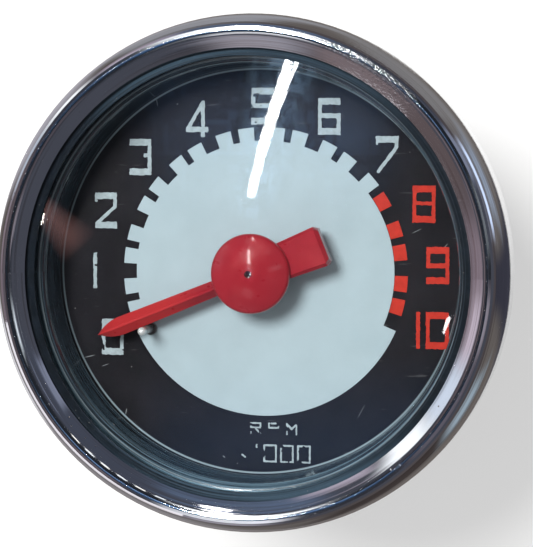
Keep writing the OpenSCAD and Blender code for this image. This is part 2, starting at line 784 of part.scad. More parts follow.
// One casting: base, threaded neck, pillars and the spigot of the field ring
module movement_frame() {
    r = neck_d / 2;
    root_r = neck_root_d / 2;
    root_z = rear_z - neck_root_l;
    relief_z = root_z - relief_l;
    color([0.62, 0.63, 0.64])
        difference() {
            union() {
                intersection() {
                    union() {
                        rod(base_d / 2, wall_z, base_z);
                        rod(field_ring_d / 2, base_z - past, base_z + spigot_h);
                    }
                    translate([-base_w / 2, -base_d / 2, wall_z])
                        cube([base_w, base_d, base_t + spigot_h]);
                }
                rotate_extrude()
                    polygon([[0, neck_end_z], [r - neck_chamfer, neck_end_z], [r, neck_end_z + neck_chamfer],
                        [r, relief_z], [r - relief_t, relief_z], [r - relief_t, root_z], [root_r, root_z],
                        [root_r, wall_z + seal_t + past], [0, wall_z + seal_t + past]]);
                pillar_places()
                    rod(pillar_d / 2, base_z - past, bridge_z);
            }
            tube(seal_d / 2, root_r, wall_z - past, wall_z + seal_t);
            rod(washer_d / 2 + loose, base_z, base_z + spigot_h + past);
            rod(magnet_d / 2, base_z + spigot_h / 2, base_z + spigot_h + past);
            rod(ferrule_d / 2, neck_end_z - past, ferrule_z);
            rod(clip_room_d / 2, ferrule_z - past, drive_bush_z);
            rod(drive_bush_d / 2, drive_bush_z, base_z + past);
            pillar_places()
                rod(bridge_screw_d / 2, bridge_z - bridge_screw_l, bridge_z + past);
            pillar_places()
                rod(frame_screw_d / 2, wall_z - past, wall_z + frame_screw_l);
        }
}

module field_ring() {
    color([0.45, 0.46, 0.48])
        tube(field_ring_d / 2 + field_ring_t, field_ring_d / 2, base_z, cup_z);
}

module magnet_carrier() {
    color([0.75, 0.6, 0.3])
        tube(magnet_d / 2, magnet_seat_d / 2, carrier_z, magnet_z);
}

module magnet() {
    color([0.3, 0.3, 0.32])
        tube(magnet_d / 2, magnet_seat_d / 2, magnet_z, compensator_z);
}

module compensator_disc() {
    color([0.6, 0.6, 0.58])
        tube(compensator_d / 2, magnet_seat_d / 2, compensator_z, rivet_z);
}

module pivot_jewel() {
    hole = pivot_d / 2 + running;
    foot_z = spindle_top_z - jewel_h;
    color([0.75, 0.15, 0.3])
        rotate_extrude()
            polygon([[0, foot_z], [jewel_d / 2, foot_z], [jewel_d / 2, spindle_top_z],
                [hole, spindle_top_z], [hole, spindle_top_z - jewel_hole_l],
                [0, spindle_top_z - jewel_hole_l]]);
}

module drive_spindle() {
    r = spindle_d / 2;
    seat_r = magnet_seat_d / 2;
    color([0.68, 0.69, 0.71])
        difference() {
            rotate_extrude()
                polygon([[0, spindle_end_z], [r, spindle_end_z], [r, clip_z], [groove_d / 2, clip_z],
                    [groove_d / 2, clip_z + clip_t], [r, clip_z + clip_t], [r, collar_z],
                    [collar_d / 2, collar_z], [collar_d / 2, carrier_z], [seat_r, carrier_z],
                    [seat_r, rivet_z], [rivet_d / 2, rivet_z], [rivet_d / 2, spindle_top_z],
                    [jewel_d / 2, spindle_top_z], [jewel_d / 2, spindle_top_z - jewel_h],
                    [0, spindle_top_z - jewel_h]]);
            translate([-square_w / 2, -square_w / 2, spindle_end_z - past])
                cube([square_w, square_w, square_l + past]);
        }
}

module drive_bush() {
    color([0.66, 0.5, 0.28])
        tube(drive_bush_d / 2, spindle_d / 2 + running, drive_bush_z, felt_z);
}

module oil_felt() {
    color([0.5, 0.42, 0.3])
        tube(drive_bush_d / 2, spindle_d / 2 + 2 * running, felt_z, base_z);
}

module thrust_washer() {
    color([0.7, 0.6, 0.4])
        tube(washer_d / 2, spindle_d / 2 + 2 * running, base_z, base_z + washer_t);
}

// An E-shaped clip, open to one side
module retaining_clip() {
    mouth = 0.9 * groove_d;
    color([0.4, 0.41, 0.43])
        translate([0, 0, clip_z])
            linear_extrude(clip_t)
                difference() {
                    circle(d = clip_d);
                    circle(d = groove_d);
                    translate([0, -mouth / 2])
                        square([clip_d, mouth]);
                }
}

module neck_seal() {
    color([0.1, 0.1, 0.1])
        tube(seal_d / 2, neck_root_d / 2, wall_z, wall_z + seal_t);
}

module frame_screws() {
    color([0.7, 0.71, 0.73])
        pillar_places()
            translate([0, 0, rear_z - screw_washer_t])
                cheese_screw(frame_screw_d, screw_washer_t + case_t + frame_screw_l);
}

module screw_washers() {
    color([0.5, 0.51, 0.53])
        pillar_places()
            tube(frame_screw_d + loose, frame_screw_d / 2, rear_z - screw_washer_t, rear_z);
}

module stud_places() {
    for (s = [-1, 1])
        translate([s * stud_spacing / 2, 0, 0])
            children();
}

module mounting_studs() {
    r = stud_d / 2;
    end_z = rear_z - stud_l;
    collar_end_z = rear_z - stud_collar_h;
    bevel = r / 5;
    color([0.72, 0.72, 0.7])
        stud_places()
            rotate_extrude()
                polygon([[0, end_z], [r - bevel, end_z], [r, end_z + bevel], [r, collar_end_z],
                    [stud_collar_d / 2, collar_end_z], [stud_collar_d / 2, wall_z],
                    [stud_head_d / 2, wall_z], [stud_head_d / 2, wall_z + stud_head_h],
                    [0, wall_z + stud_head_h]]);
}

module case_shell() {
    mid_r = (barrel_d - case_t) / 2;
    mid_z = flange_z + case_t / 2;
    shoulder = [mid_r - shoulder_bend, -barrel_l];
    taper_r = shoulder[0] + shoulder_bend * cos(case_taper);
    taper_z = shoulder[1] - shoulder_bend * sin(case_taper);
    corner_z = rear_z + case_t / 2 + corner_bend;
    taper_l = taper_z - (corner_z - corner_bend * sin(case_taper));
    corner_r = taper_r - taper_l * tan(case_taper) - corner_bend * cos(case_taper);
    color([0.16, 0.16, 0.17])
        difference() {
            sheet_ring(concat(
                [[rim_r, mid_z, 270]],
                bend([mid_r + flange_bend, mid_z - flange_bend], flange_bend, 90, 180, 180),
                bend(shoulder, shoulder_bend, 360, 360 - case_taper),
                bend([corner_r, corner_z], corner_bend, 360 - case_taper, 270),
                [[neck_root_d / 2 + loose, rear_z + case_t / 2, 270]]), case_t);
            stud_places()
                rod(stud_collar_d / 2, rear_z - past, wall_z + past);
            pillar_places()
                rod(frame_screw_d / 2 + loose, rear_z - past, wall_z + past);
        }
}

bezel();
lens_gasket();
lens();
spacer_ring();
dial();
white_field();
red_teeth();
stop_pin();
pointer();
pointer_bush();
pointer_staff();
cup_hub();
drag_cup();
hairspring_collet();
hairspring();
hairspring_stud();
regulator_arm();
upper_bearing();
upper_bridge();
bridge_screws();
movement_frame();
field_ring();
magnet_carrier();
magnet();
compensator_disc();
pivot_jewel();
drive_spindle();
drive_bush();
oil_felt();
thrust_washer();
retaining_clip();
neck_seal();
frame_screws();
screw_washers();
mounting_studs();
case_shell();
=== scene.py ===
import json
import math

import bmesh
import bpy
import numpy as np
from mathutils import Matrix, Vector


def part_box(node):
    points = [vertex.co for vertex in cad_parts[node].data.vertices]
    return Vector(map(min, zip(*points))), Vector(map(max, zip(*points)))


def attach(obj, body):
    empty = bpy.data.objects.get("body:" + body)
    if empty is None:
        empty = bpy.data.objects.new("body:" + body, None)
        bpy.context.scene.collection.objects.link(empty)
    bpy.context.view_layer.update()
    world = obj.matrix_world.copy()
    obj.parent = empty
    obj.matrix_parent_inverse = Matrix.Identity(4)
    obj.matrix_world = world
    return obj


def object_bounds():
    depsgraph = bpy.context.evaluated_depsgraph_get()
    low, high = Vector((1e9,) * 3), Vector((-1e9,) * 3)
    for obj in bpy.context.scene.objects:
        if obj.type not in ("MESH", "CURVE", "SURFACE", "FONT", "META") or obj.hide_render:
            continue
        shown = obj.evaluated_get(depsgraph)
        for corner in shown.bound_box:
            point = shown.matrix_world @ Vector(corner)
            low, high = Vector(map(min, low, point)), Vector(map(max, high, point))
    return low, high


# A mechanical motorcycle tachometer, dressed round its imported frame. Everything is in metres, in the
# frame's own axes: +Z out of the glass, +Y to the top of the dial, the origin on the pointer's axis.

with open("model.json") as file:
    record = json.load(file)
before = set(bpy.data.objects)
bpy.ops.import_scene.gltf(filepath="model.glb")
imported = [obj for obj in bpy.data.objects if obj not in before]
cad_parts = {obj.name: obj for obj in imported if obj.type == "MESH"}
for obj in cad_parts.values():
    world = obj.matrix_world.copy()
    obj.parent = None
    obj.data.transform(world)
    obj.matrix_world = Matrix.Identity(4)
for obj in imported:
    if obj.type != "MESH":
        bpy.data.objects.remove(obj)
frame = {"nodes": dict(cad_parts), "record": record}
CAD_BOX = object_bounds()
MM = 0.001

# Places that come from the frame
FACE_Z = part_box("dial")[1].z
GLASS_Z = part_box("lens")[1].z
FLOOR_GAP = 0.2 * MM
FLOOR_Z = CAD_BOX[0].z - FLOOR_GAP


# Helpers


def direction(azimuth, elevation):
    """A unit vector from an azimuth, counter-clockwise from +X, and an elevation, in degrees."""
    a, e = math.radians(azimuth), math.radians(elevation)
    return Vector((math.cos(a) * math.cos(e), math.sin(a) * math.cos(e), math.sin(e)))


def add_object(name, data):
    """A new object of the scene that holds a mesh, a lamp or a camera."""
    thing = bpy.data.objects.new(name, data)
    bpy.context.scene.collection.objects.link(thing)
    return thing


def mesh_of(bm, name):
    """The finished mesh of a shape under construction."""
    mesh = bpy.data.meshes.new(name)
    bm.to_mesh(mesh)
    bm.free()
    return mesh


def mesh_from(name, corners, faces):
    """A mesh from its corners and faces."""
    mesh = bpy.data.meshes.new(name)
    mesh.from_pydata(corners, [], faces)
    return mesh


# Camera

# The photograph's frame, and the focal length in its pixels
IMAGE_W = 533
IMAGE_H = 547
FOCAL_PX = 1997
# Width of the camera's sensor, in Blender's millimetres, and how near and far it sees, in metres
SENSOR_WIDTH = 36
CLIP_NEAR = 0.01
CLIP_FAR = 20
# The camera stands this far from the dial, leans to the right and to the top, and is rolled a little
CAMERA_DISTANCE = 255 * MM
CAMERA_LEAN_X = 10.9
CAMERA_LEAN_Y = 3.1
CAMERA_ROLL = 0.2
CAMERA_TARGET = Vector((1.1 * MM, -0.2 * MM, FACE_Z))


def camera_place():
    """Where the camera stands, and the unit vector from its target back to it."""
    lean_x, lean_y = math.radians(CAMERA_LEAN_X), math.radians(CAMERA_LEAN_Y)
    back = Vector((math.sin(lean_x) * math.cos(lean_y), math.sin(lean_y),
                   math.cos(lean_x) * math.cos(lean_y)))
    return CAMERA_TARGET + back * CAMERA_DISTANCE, back


def make_camera():
    """A camera without shift, at the photograph's viewing angle."""
    data = bpy.data.cameras.new("camera")
    data.sensor_width = SENSOR_WIDTH
    data.lens = FOCAL_PX / max(IMAGE_W, IMAGE_H) * SENSOR_WIDTH
    data.clip_start = CLIP_NEAR
    data.clip_end = CLIP_FAR
    camera = add_object("camera", data)
    place, back = camera_place()
    right = Vector((0, 1, 0)).cross(back).normalized()
    up = back.cross(right)
    turn = Matrix((right, up, back)).transposed() @ Matrix.Rotation(math.radians(CAMERA_ROLL), 3, "Z")
    camera.matrix_world = Matrix.Translation(place) @ turn.to_4x4()
    bpy.context.scene.camera = camera


# Materials

# Share of a dot, a ring or a patch inside which it is full, before it fades to its edge
DOT_CORE = 0.4
RING_CORE = 0.3
PATCH_CORE = 0.35
# Radius at which a streak round the axis has its stated length, in millimetres
STREAK_R = 30
# Noise lies mostly between these values
NOISE_LOW = 0.3
NOISE_HIGH = 0.7


class Nodes:
    """The shader nodes of a material or of the world."""

    def __init__(self, tree, empty=False):
        self.tree = tree
        if empty:
            tree.nodes.clear()

    def add(self, kind, **settings):
        """A new node with its settings."""
        node = self.tree.nodes.new(kind)
        for key, value in settings.items():
            setattr(node, key, value)
        return node

    def put(self, value, socket):
        """Links an output to a socket, or sets a plain value on it."""
        if isinstance(value, bpy.types.NodeSocket):
            self.tree.links.new(value, socket)
        else:
            socket.default_value = value

    def fill(self, node, **values):
        """Sets or links sockets of a node by name, with _ for a space, and returns the node."""
        for name, value in values.items():
            self.put(value, node.inputs[name.replace("_", " ")])
        return node

    def math(self, operation, a, b=0.0):
        """A sum, product or other result of two values."""
        node = self.add("ShaderNodeMath", operation=operation)
        self.put(a, node.inputs[0])
        self.put(b, node.inputs[1])
        return node.outputs["Value"]

    def times(self, a, b):
        return self.math("MULTIPLY", a, b)

    def plus(self, a, b):
        return self.math("ADD", a, b)

    def minus(self, a, b):
        return self.math("SUBTRACT", a, b)

    def mix(self, factor, a, b):
        """One shader, or another where the factor is high."""
        node = self.add("ShaderNodeMixShader")
        for value, socket in zip((factor, a, b), node.inputs):
            self.put(value, socket)
        return node.outputs["Shader"]


def new_material(name):
    material = bpy.data.materials.new(name)
    material.use_nodes = True
    return material


class Surface(Nodes):
    """A Principled material whose colour, roughness and bump come from noise in the frame's space."""

    def __init__(self, name, colour, roughness, metallic=0.0, **sockets):
        self.material = new_material(name)
        super().__init__(self.material.node_tree)
        self.shader = self.tree.nodes["Principled BSDF"]
        self.place = self.add("ShaderNodeTexCoord").outputs["Object"]
        self.fill(self.shader, Metallic=metallic, **sockets)
        self.colour = (*colour, 1.0)
        self.roughness = roughness
        self.relief = None

    def mapped(self, shift, stretch=(1, 1, 1), turn=(0, 0, 0)):
        """The place, moved by shift metres each way, stretched and turned."""
        mapping = self.add("ShaderNodeMapping")
        self.fill(mapping, Vector=self.place, Location=(shift, shift, shift), Rotation=turn, Scale=stretch)
        return mapping.outputs["Vector"]

    def noise(self, size, detail=3.0, stretch=(1, 1, 1), turn=(0, 0, 0), shift=0.0):
        """Soft noise with features of about size millimetres, as a value from 0 to 1."""
        texture = self.add("ShaderNodeTexNoise")
        self.fill(texture, Vector=self.mapped(shift, stretch, turn), Scale=1 / (size * MM), Detail=detail)
        return texture.outputs["Fac"]

    def dots(self, spacing, radius, shift=0.0):
        """Scattered round specks: 1 at each speck's middle, 0 outside. Sizes in millimetres."""
        texture = self.add("ShaderNodeTexVoronoi")
        self.fill(texture, Vector=self.mapped(shift), Scale=1 / (spacing * MM), Randomness=1.0)
        return self.span(texture.outputs["Distance"], radius / spacing, DOT_CORE * radius / spacing)

    def axis(self, name):
        """A coordinate of the place, in metres."""
        return self.fill(self.add("ShaderNodeSeparateXYZ"), Vector=self.place).outputs[name]

    def radius(self):
        """Distance from the Z axis, in metres."""
        x, y = self.axis("X"), self.axis("Y")
        return self.math("SQRT", self.plus(self.times(x, x), self.times(y, y)))

    def span(self, value, low, high, out_low=0.0, out_high=1.0, smooth=True):
        """The value's place between low and high, held to the range out_low to out_high."""
        node = self.add("ShaderNodeMapRange", interpolation_type="SMOOTHSTEP" if smooth else "LINEAR")
        self.fill(node, Value=value, From_Min=low, From_Max=high, To_Min=out_low, To_Max=out_high)
        return node.outputs["Result"]

    def ring(self, value, middle, half_width):
        """1 where the value is at the middle, falling to 0 at the half width on both sides."""
        off = self.math("ABSOLUTE", self.minus(value, middle))
        return self.span(off, half_width, RING_CORE * half_width)

    def blend(self, kind, factor, a, b, **settings):
        """One number or colour, or another where the factor is high."""
        node = self.add("ShaderNodeMix", data_type=kind, **settings)
        return self.fill(node, Factor=factor, A=a, B=b).outputs["Result"]

    def tint(self, factor, colour):
        """Lets another colour through where the factor is high."""
        self.colour = self.blend("RGBA", factor, self.colour, (*colour, 1.0))

    def mottle(self, size, low, high, detail=3.0, shift=0.0):
        """Lightens and darkens the colour softly, between two multipliers."""
        value = self.noise(size, detail, shift=shift)
        value = self.span(value, NOISE_LOW, NOISE_HIGH, low, high, smooth=False)
        self.colour = self.blend("RGBA", 1.0, self.colour, value, blend_type="MULTIPLY")

    def polish(self, value, low, high):
        """The roughness follows a value from 0 to 1."""
        self.roughness = self.span(value, NOISE_LOW, NOISE_HIGH, low, high, smooth=False)

    def dull(self, factor, roughness):
        """Another roughness where the factor is high."""
        self.roughness = self.blend("FLOAT", factor, self.roughness, roughness)

    def spun(self, across, along, detail=3.0, shift=0.0):
        """Noise in streaks round the Z axis, with their width and length in millimetres at the rim."""
        scale = 1 / (across * MM)
        radius = self.times(self.radius(), scale)
        angle = self.times(self.math("ARCTAN2", self.axis("Y"), self.axis("X")), STREAK_R / along)
        height = self.plus(self.times(self.axis("Z"), scale), shift)
        place = self.fill(self.add("ShaderNodeCombineXYZ"), X=radius, Y=angle, Z=height)
        texture = self.add("ShaderNodeTexNoise")
        self.fill(texture, Vector=place.outputs["Vector"], Scale=1.0, Detail=detail)
        return texture.outputs["Fac"]

    def near(self, centre, reach):
        """1 around a place given in millimetres, falling to 0 at the reach."""
        node = self.add("ShaderNodeVectorMath", operation="DISTANCE")
        self.put(self.place, node.inputs[0])
        self.put([c * MM for c in centre], node.inputs[1])
        return self.span(node.outputs["Value"], reach * MM, PATCH_CORE * reach * MM)

    def stroke(self, x, y, angle, length, width):
        """1 along a thin straight mark on the dial, at a place and of a size in millimetres."""
        dx = self.minus(self.axis("X"), x * MM)
        dy = self.minus(self.axis("Y"), y * MM)
        c, s = math.cos(math.radians(angle)), math.sin(math.radians(angle))
        along = self.plus(self.times(dx, c), self.times(dy, s))
        across = self.minus(self.times(dy, c), self.times(dx, s))
        return self.times(self.ring(along, 0, length / 2 * MM), self.ring(across, 0, width / 2 * MM))

    def bump(self, height, depth):
        """Adds relief: the height from 0 to 1 stands for depth millimetres."""
        node = self.add("ShaderNodeBump")
        self.fill(node, Strength=1.0, Distance=depth * MM, Height=height)
        if self.relief is not None:
            self.fill(node, Normal=self.relief)
        self.relief = node.outputs["Normal"]

    def done(self):
        """The material, with what was gathered linked to its shader."""
        self.fill(self.shader, Base_Color=self.colour, Roughness=self.roughness)
        if self.relief is not None:
            self.fill(self.shader, Normal=self.relief)
        return self.material


# The middle of the bezel's pitted stretch, in millimetres
PITTED_PLACE = (17, 25, 13)
# Middle radius and half width of the bezel's slope beside the window, and its rounding, in millimetres
SLOPE_R = 28.6
SLOPE_HALF = 0.55
SLOPE_ROUNDING = 0.035
# How much of the rounding the slope's inner half takes
SLOPE_INNER_SHARE = 0.4
# The middle of the bezel's smooth stretch, in millimetres
SMOOTH_PLACE = (-15.5, -25, 12.5)
# Distance between the tool marks on a turned piece, and their depth, in millimetres
LATHE_PITCH = 0.12
LATHE_DEPTH = 0.004


def turned(surface):
    """Fine concentric tool marks round the Z axis."""
    phase = surface.times(surface.radius(), 2 * math.pi / (LATHE_PITCH * MM))
    waves = surface.math("SINE", phase)
    surface.bump(surface.span(waves, -1, 1, smooth=False), LATHE_DEPTH)


def chrome():
    """Worn chrome plating: wavy, brushed round by polishing, pitted where rust has started."""
    s = Surface("chrome", (0.70, 0.71, 0.73), 0.06, 1.0)
    s.mottle(9, 0.93, 1.0)
    s.polish(s.spun(0.35, 9, 4), 0.035, 0.13)
    # Painted reflection: brownish streaks in the plating's colour stand for a brown surround mirrored in
    # it.
    s.tint(s.span(s.spun(0.4, 34, 4, shift=9.0), 0.52, 0.70, 0, 0.5), (0.40, 0.35, 0.33))
    across = s.math("DIVIDE", s.minus(s.radius(), SLOPE_R * MM), SLOPE_HALF * MM)
    share = s.span(across, -0.01, 0.01, SLOPE_INNER_SHARE, 1.0)
    drop = s.times(s.times(across, across), share)
    s.bump(s.span(drop, 0, 1, 1, 0, smooth=False), SLOPE_ROUNDING)
    s.bump(s.noise(13, 2), 0.020)
    smooth_patch = s.near(SMOOTH_PLACE, 15)
    calm = s.span(smooth_patch, 0, 1, 1, 0.06)
    s.bump(s.times(s.spun(0.22, 22, 3, shift=4.0), calm), 0.0045)
    s.bump(s.times(s.noise(1.5, 4), calm), 0.0010)
    s.dull(smooth_patch, 0.03)
    hairlines = s.span(s.noise(2.2, 2, stretch=(1, 14, 1), turn=(0, 0, 0.6)), 0.62, 0.72)
    s.dull(hairlines, 0.15)
    rough_patch = s.near(PITTED_PLACE, 9)
    s.bump(s.times(s.noise(0.35, 4, shift=0.6), rough_patch), 0.05)
    pits = s.times(s.dots(1.1, 0.13), s.span(s.noise(7, 3, shift=0.3), 0.52, 0.68))
    s.tint(pits, (0.10, 0.075, 0.06))
    s.dull(pits, 0.5)
    s.bump(s.minus(1.0, pits), 0.015)
    return s.done()


def rubber():
    """The gasket's rubber, with painted highlight lines in fine streaks round it, a painted blue sheen in
    streaks at the top and the bottom, and dust on it.
    """
    s = Surface("gasket_rubber", (0.004, 0.007, 0.011), 0.5, Specular_IOR_Level=0.25)
    s.mottle(1.5, 0.7, 1.4)
    # Painted sheen: blue streaks on the rubber, at the top and the bottom only.
    upright = s.span(s.math("ABSOLUTE", s.axis("Y")), 16 * MM, 27 * MM)
    s.tint(s.times(upright, s.span(s.spun(0.25, 30, 3), 0.35, 0.7)), (0.040, 0.070, 0.10))
    # Painted highlight: fine pale blue-grey lines round the rubber.
    sides = s.span(s.spun(0.16, 40, 3, shift=5.0), 0.55, 0.72, 0, 0.5)
    s.tint(sides, (0.05, 0.065, 0.085))
    s.polish(s.noise(0.8), 0.42, 0.68)
    s.bump(s.noise(0.3, 4), 0.01)
    dust = s.times(s.dots(0.7, 0.09), s.span(s.noise(4), 0.5, 0.7))
    s.tint(dust, (0.30, 0.29, 0.27))
    return s.done()


GLASS_TINT = (0.975, 0.985, 0.982)
GLASS_GLOSS = 0.012
GLASS_IOR = 1.5
# Light that both faces of the glass mirror, against what one does
BOTH_FACES = 1.7


def glass():
    """Clear flat glass: light goes straight through, and its outer faces mirror the room."""
    material = new_material("lens_glass")
    n = Nodes(material.node_tree, empty=True)
    clear = n.fill(n.add("ShaderNodeBsdfTransparent"), Color=(*GLASS_TINT, 1))
    gloss = n.fill(n.add("ShaderNodeBsdfGlossy"), Roughness=GLASS_GLOSS)
    fresnel = n.fill(n.add("ShaderNodeFresnel"), IOR=GLASS_IOR)
    front = n.minus(1.0, n.add("ShaderNodeNewGeometry").outputs["Backfacing"])
    share = n.add("ShaderNodeMath", operation="MULTIPLY", use_clamp=True)
    n.put(n.times(fresnel.outputs["Fac"], front), share.inputs[0])
    n.put(BOTH_FACES, share.inputs[1])
    both = n.mix(share.outputs["Value"], clear.outputs["BSDF"], gloss.outputs["BSDF"])
    n.fill(n.add("ShaderNodeOutputMaterial"), Surface=both)
    return material


# Heights of the spacer's painted highlight rings, in millimetres: this one over the dial
FOOT_LINE = 0.5
# and these two below the outer face of the glass
BEND_LINE = 2.5
HEAD_LINE = 1.6
# Radius of the painted highlight ring on the dial, at the spacer's foot
FOOT_R = 25.85 * MM


def spacer_black():
    """Glossy blue-black enamel, with a painted blue sheen in streaks towards the bottom, and painted
    highlights in thin grey rings, patchy like rubbed paint, at the foot and at the upper bend.
    """
    s = Surface("black_spacer", (0.013, 0.021, 0.028), 0.2, Coat_Weight=0.6, Coat_Roughness=0.09)
    streaks = s.spun(0.28, 30, 4)
    # Painted sheen: pale blue streaks, stronger towards the bottom.
    low = s.span(s.axis("Y"), -4 * MM, -24 * MM, 0.25, 1.0)
    s.tint(s.times(low, s.span(streaks, 0.42, 0.68)), (0.15, 0.25, 0.33))
    s.polish(s.spun(0.5, 12, 4), 0.12, 0.3)
    s.bump(streaks, 0.012)
    z = s.axis("Z")
    # Painted highlights: thin grey rings at the foot and at the upper bends, made patchy by noise.
    worn = s.span(s.noise(6, 3, shift=0.2), 0.3, 0.5, 0.6, 1.0)
    foot = s.ring(z, FACE_Z + FOOT_LINE * MM, 0.42 * MM)
    bend = s.ring(z, GLASS_Z - BEND_LINE * MM, 0.16 * MM)
    head = s.ring(z, GLASS_Z - HEAD_LINE * MM, 0.06 * MM)
    thin = s.times(s.math("MAXIMUM", bend, head), 0.35)
    s.tint(s.times(s.math("MAXIMUM", foot, thin), worn), (0.36, 0.43, 0.48))
    dust = s.times(s.dots(0.9, 0.07), s.span(s.noise(5), 0.48, 0.7))
    s.tint(dust, (0.32, 0.33, 0.35))
    return s.done()


# Fine scratches in the black print: X and Y, angle in degrees, length and width, in millimetres
SCRATCHES = [
    (-22.3, -11.3, 14, 1.7, 0.16), (-20.2, -12.4, 20, 1.2, 0.12), (-17.4, -18.4, 78, 1.0, 0.16),
    (-13.3, 21.6, 100, 1.2, 0.13), (20.3, 5.4, 26, 1.6, 0.10), (24.0, 3.6, 48, 0.9, 0.12),
    (-4.4, -23.9, 140, 0.5, 0.22), (13.4, -17.6, 62, 2.4, 0.07),
]
SCRATCH_GREY = (0.26, 0.28, 0.30)


def dial_black():
    """Black print, with a painted highlight in a thin pale ring where the spacer's foot stands, stronger
    at the top and the bottom.
    """
    s = Surface("dial_black", (0.0125, 0.0115, 0.0145), 0.42, Specular_IOR_Level=0.3)
    s.mottle(6, 0.75, 1.35)
    s.tint(s.span(s.noise(9, 2, shift=0.7), 0.55, 0.8, 0, 0.35), (0.022, 0.019, 0.020))
    s.polish(s.noise(1.4, 5), 0.40, 0.58)
    s.bump(s.noise(0.18, 4), 0.002)
    specks = s.times(s.dots(1.9, 0.11), s.span(s.noise(6, 3, shift=0.2), 0.52, 0.62))
    s.tint(specks, (0.28, 0.27, 0.27))
    rubs = s.span(s.noise(5, 4, stretch=(1, 9, 1), turn=(0, 0, 1.1), shift=0.4), 0.68, 0.74, 0, 0.25)
    s.tint(rubs, (0.20, 0.20, 0.21))
    # Painted highlight: a thin pale ring on the print at the spacer's foot, stronger at the top and the
    # bottom.
    rubbed = s.ring(s.radius(), FOOT_R, 0.17 * MM)
    upright = s.span(s.math("ABSOLUTE", s.axis("Y")), 10 * MM, 23 * MM, 0.55, 1.0)
    s.tint(s.times(rubbed, upright), (0.30, 0.38, 0.43))
    for x, y, angle, length, width in SCRATCHES:
        s.tint(s.stroke(x, y, angle, length, width), SCRATCH_GREY)
    return s.done()


def dial_white():
    """Pale blue-grey print, a little uneven, with specks of dirt."""
    s = Surface("dial_white", (0.43, 0.53, 0.585), 0.5, Specular_IOR_Level=0.3)
    s.mottle(4, 0.955, 1.035, 4)
    s.mottle(0.35, 0.985, 1.015)
    s.tint(s.span(s.noise(8, 3, shift=0.5), 0.5, 0.78, 0, 0.25), (0.38, 0.49, 0.55))
    s.polish(s.noise(1.2, 4), 0.42, 0.58)
    s.bump(s.noise(0.2, 3), 0.002)
    specks = s.times(s.dots(2.6, 0.09, shift=0.3), s.span(s.noise(5, 2), 0.55, 0.62))
    s.tint(specks, (0.20, 0.22, 0.23))
    return s.done()


def dial_red():
    """Red print, uneven where it is thin."""
    s = Surface("dial_red", (0.55, 0.040, 0.026), 0.5, Specular_IOR_Level=0.3)
    s.mottle(0.8, 0.86, 1.08, 4)
    s.polish(s.noise(0.7, 4), 0.42, 0.6)
    s.bump(s.noise(0.15, 3), 0.002)
    return s.done()


def figure_white():
    """The figures' print, thinner and less even than the white field's."""
    s = Surface("figure_white", (0.42, 0.50, 0.54), 0.5, Specular_IOR_Level=0.3)
    s.mottle(0.6, 0.80, 1.05, 4)
    s.polish(s.noise(0.7, 4), 0.42, 0.6)
    s.bump(s.noise(0.15, 3), 0.002)
    return s.done()


def pointer_red():
    """Moulded plastic, a lighter red along the needle away from the hub, with fine dust on it."""
    s = Surface("pointer_red", (0.34, 0.014, 0.026), 0.3, Coat_Weight=0.5, Coat_Roughness=0.05,
                Sheen_Weight=0.12, Sheen_Roughness=0.35)
    s.mottle(2.2, 0.94, 1.05, 4)
    # Lighter red along the needle, away from the hub.
    s.tint(s.span(s.axis("X"), -5 * MM, -12 * MM), (0.50, 0.030, 0.034))
    s.tint(s.span(s.noise(3, 3, shift=0.6), 0.5, 0.8, 0, 0.3), (0.42, 0.050, 0.055))
    s.polish(s.noise(1.1, 4), 0.26, 0.40)
    s.bump(s.noise(0.8, 2), 0.003)
    dust = s.times(s.dots(0.9, 0.05, shift=0.2), s.span(s.noise(2.5), 0.5, 0.65, 0, 0.4))
    s.tint(dust, (0.62, 0.30, 0.32))
    return s.done()


def pin_steel():
    """The stop pin's steel, dark and dull towards the foot, with a painted highlight that whitens it
    towards the tip.
    """
    s = Surface("pin_steel", (0.13, 0.12, 0.12), 0.34, 0.5)
    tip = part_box("stop_pin")[1].z
    # Painted highlight: the steel lightens up the pin and turns white near its tip.
    s.tint(s.span(s.axis("Z"), tip - 3.6 * MM, tip - 2.2 * MM, 0, 0.5), (0.80, 0.78, 0.78))
    s.tint(s.span(s.axis("Z"), tip - 1.4 * MM, tip - 0.6 * MM), (1.0, 1.0, 1.0))
    s.polish(s.noise(0.8), 0.28, 0.44)
    s.bump(s.noise(0.4, 3), 0.004)
    return s.done()


def metal(name, colour, rough_low, rough_high, grain=0.4, depth=0.004, lathe=False, stain=None):
    """Bare metal with grain, patches of another gloss and, if asked, tool marks and stains."""
    s = Surface(name, colour, rough_low, 1.0)
    s.mottle(2.5, 0.88, 1.05, 4)
    s.polish(s.noise(1.3, 5), rough_low, rough_high)
    s.bump(s.noise(grain, 4), depth)
    if lathe:
        turned(s)
    if stain:
        patches = s.span(s.noise(3.5, 5, shift=0.8), 0.56, 0.72, 0, 0.6)
        s.tint(patches, stain)
        s.dull(patches, 0.6)
    return s.done()


def case_enamel():
    """Semi-gloss black enamel with orange peel, rubbed grey in places and chipped here and there."""
    s = Surface("case_paint", (0.014, 0.014, 0.016), 0.3)
    s.mottle(7, 0.75, 1.35, 4)
    s.polish(s.noise(4, 5), 0.24, 0.42)
    s.bump(s.noise(0.8, 2), 0.010)
    rubbed = s.span(s.noise(5, 6, stretch=(1, 1, 0.4), shift=0.2), 0.60, 0.74, 0, 0.5)
    s.tint(rubbed, (0.045, 0.045, 0.047))
    s.dull(rubbed, 0.55)
    chips = s.times(s.dots(2.4, 0.34, shift=0.1), s.span(s.noise(6, 4, shift=0.9), 0.56, 0.60))
    s.tint(chips, (0.30, 0.25, 0.21))
    s.bump(s.minus(1.0, chips), 0.03)
    return s.done()


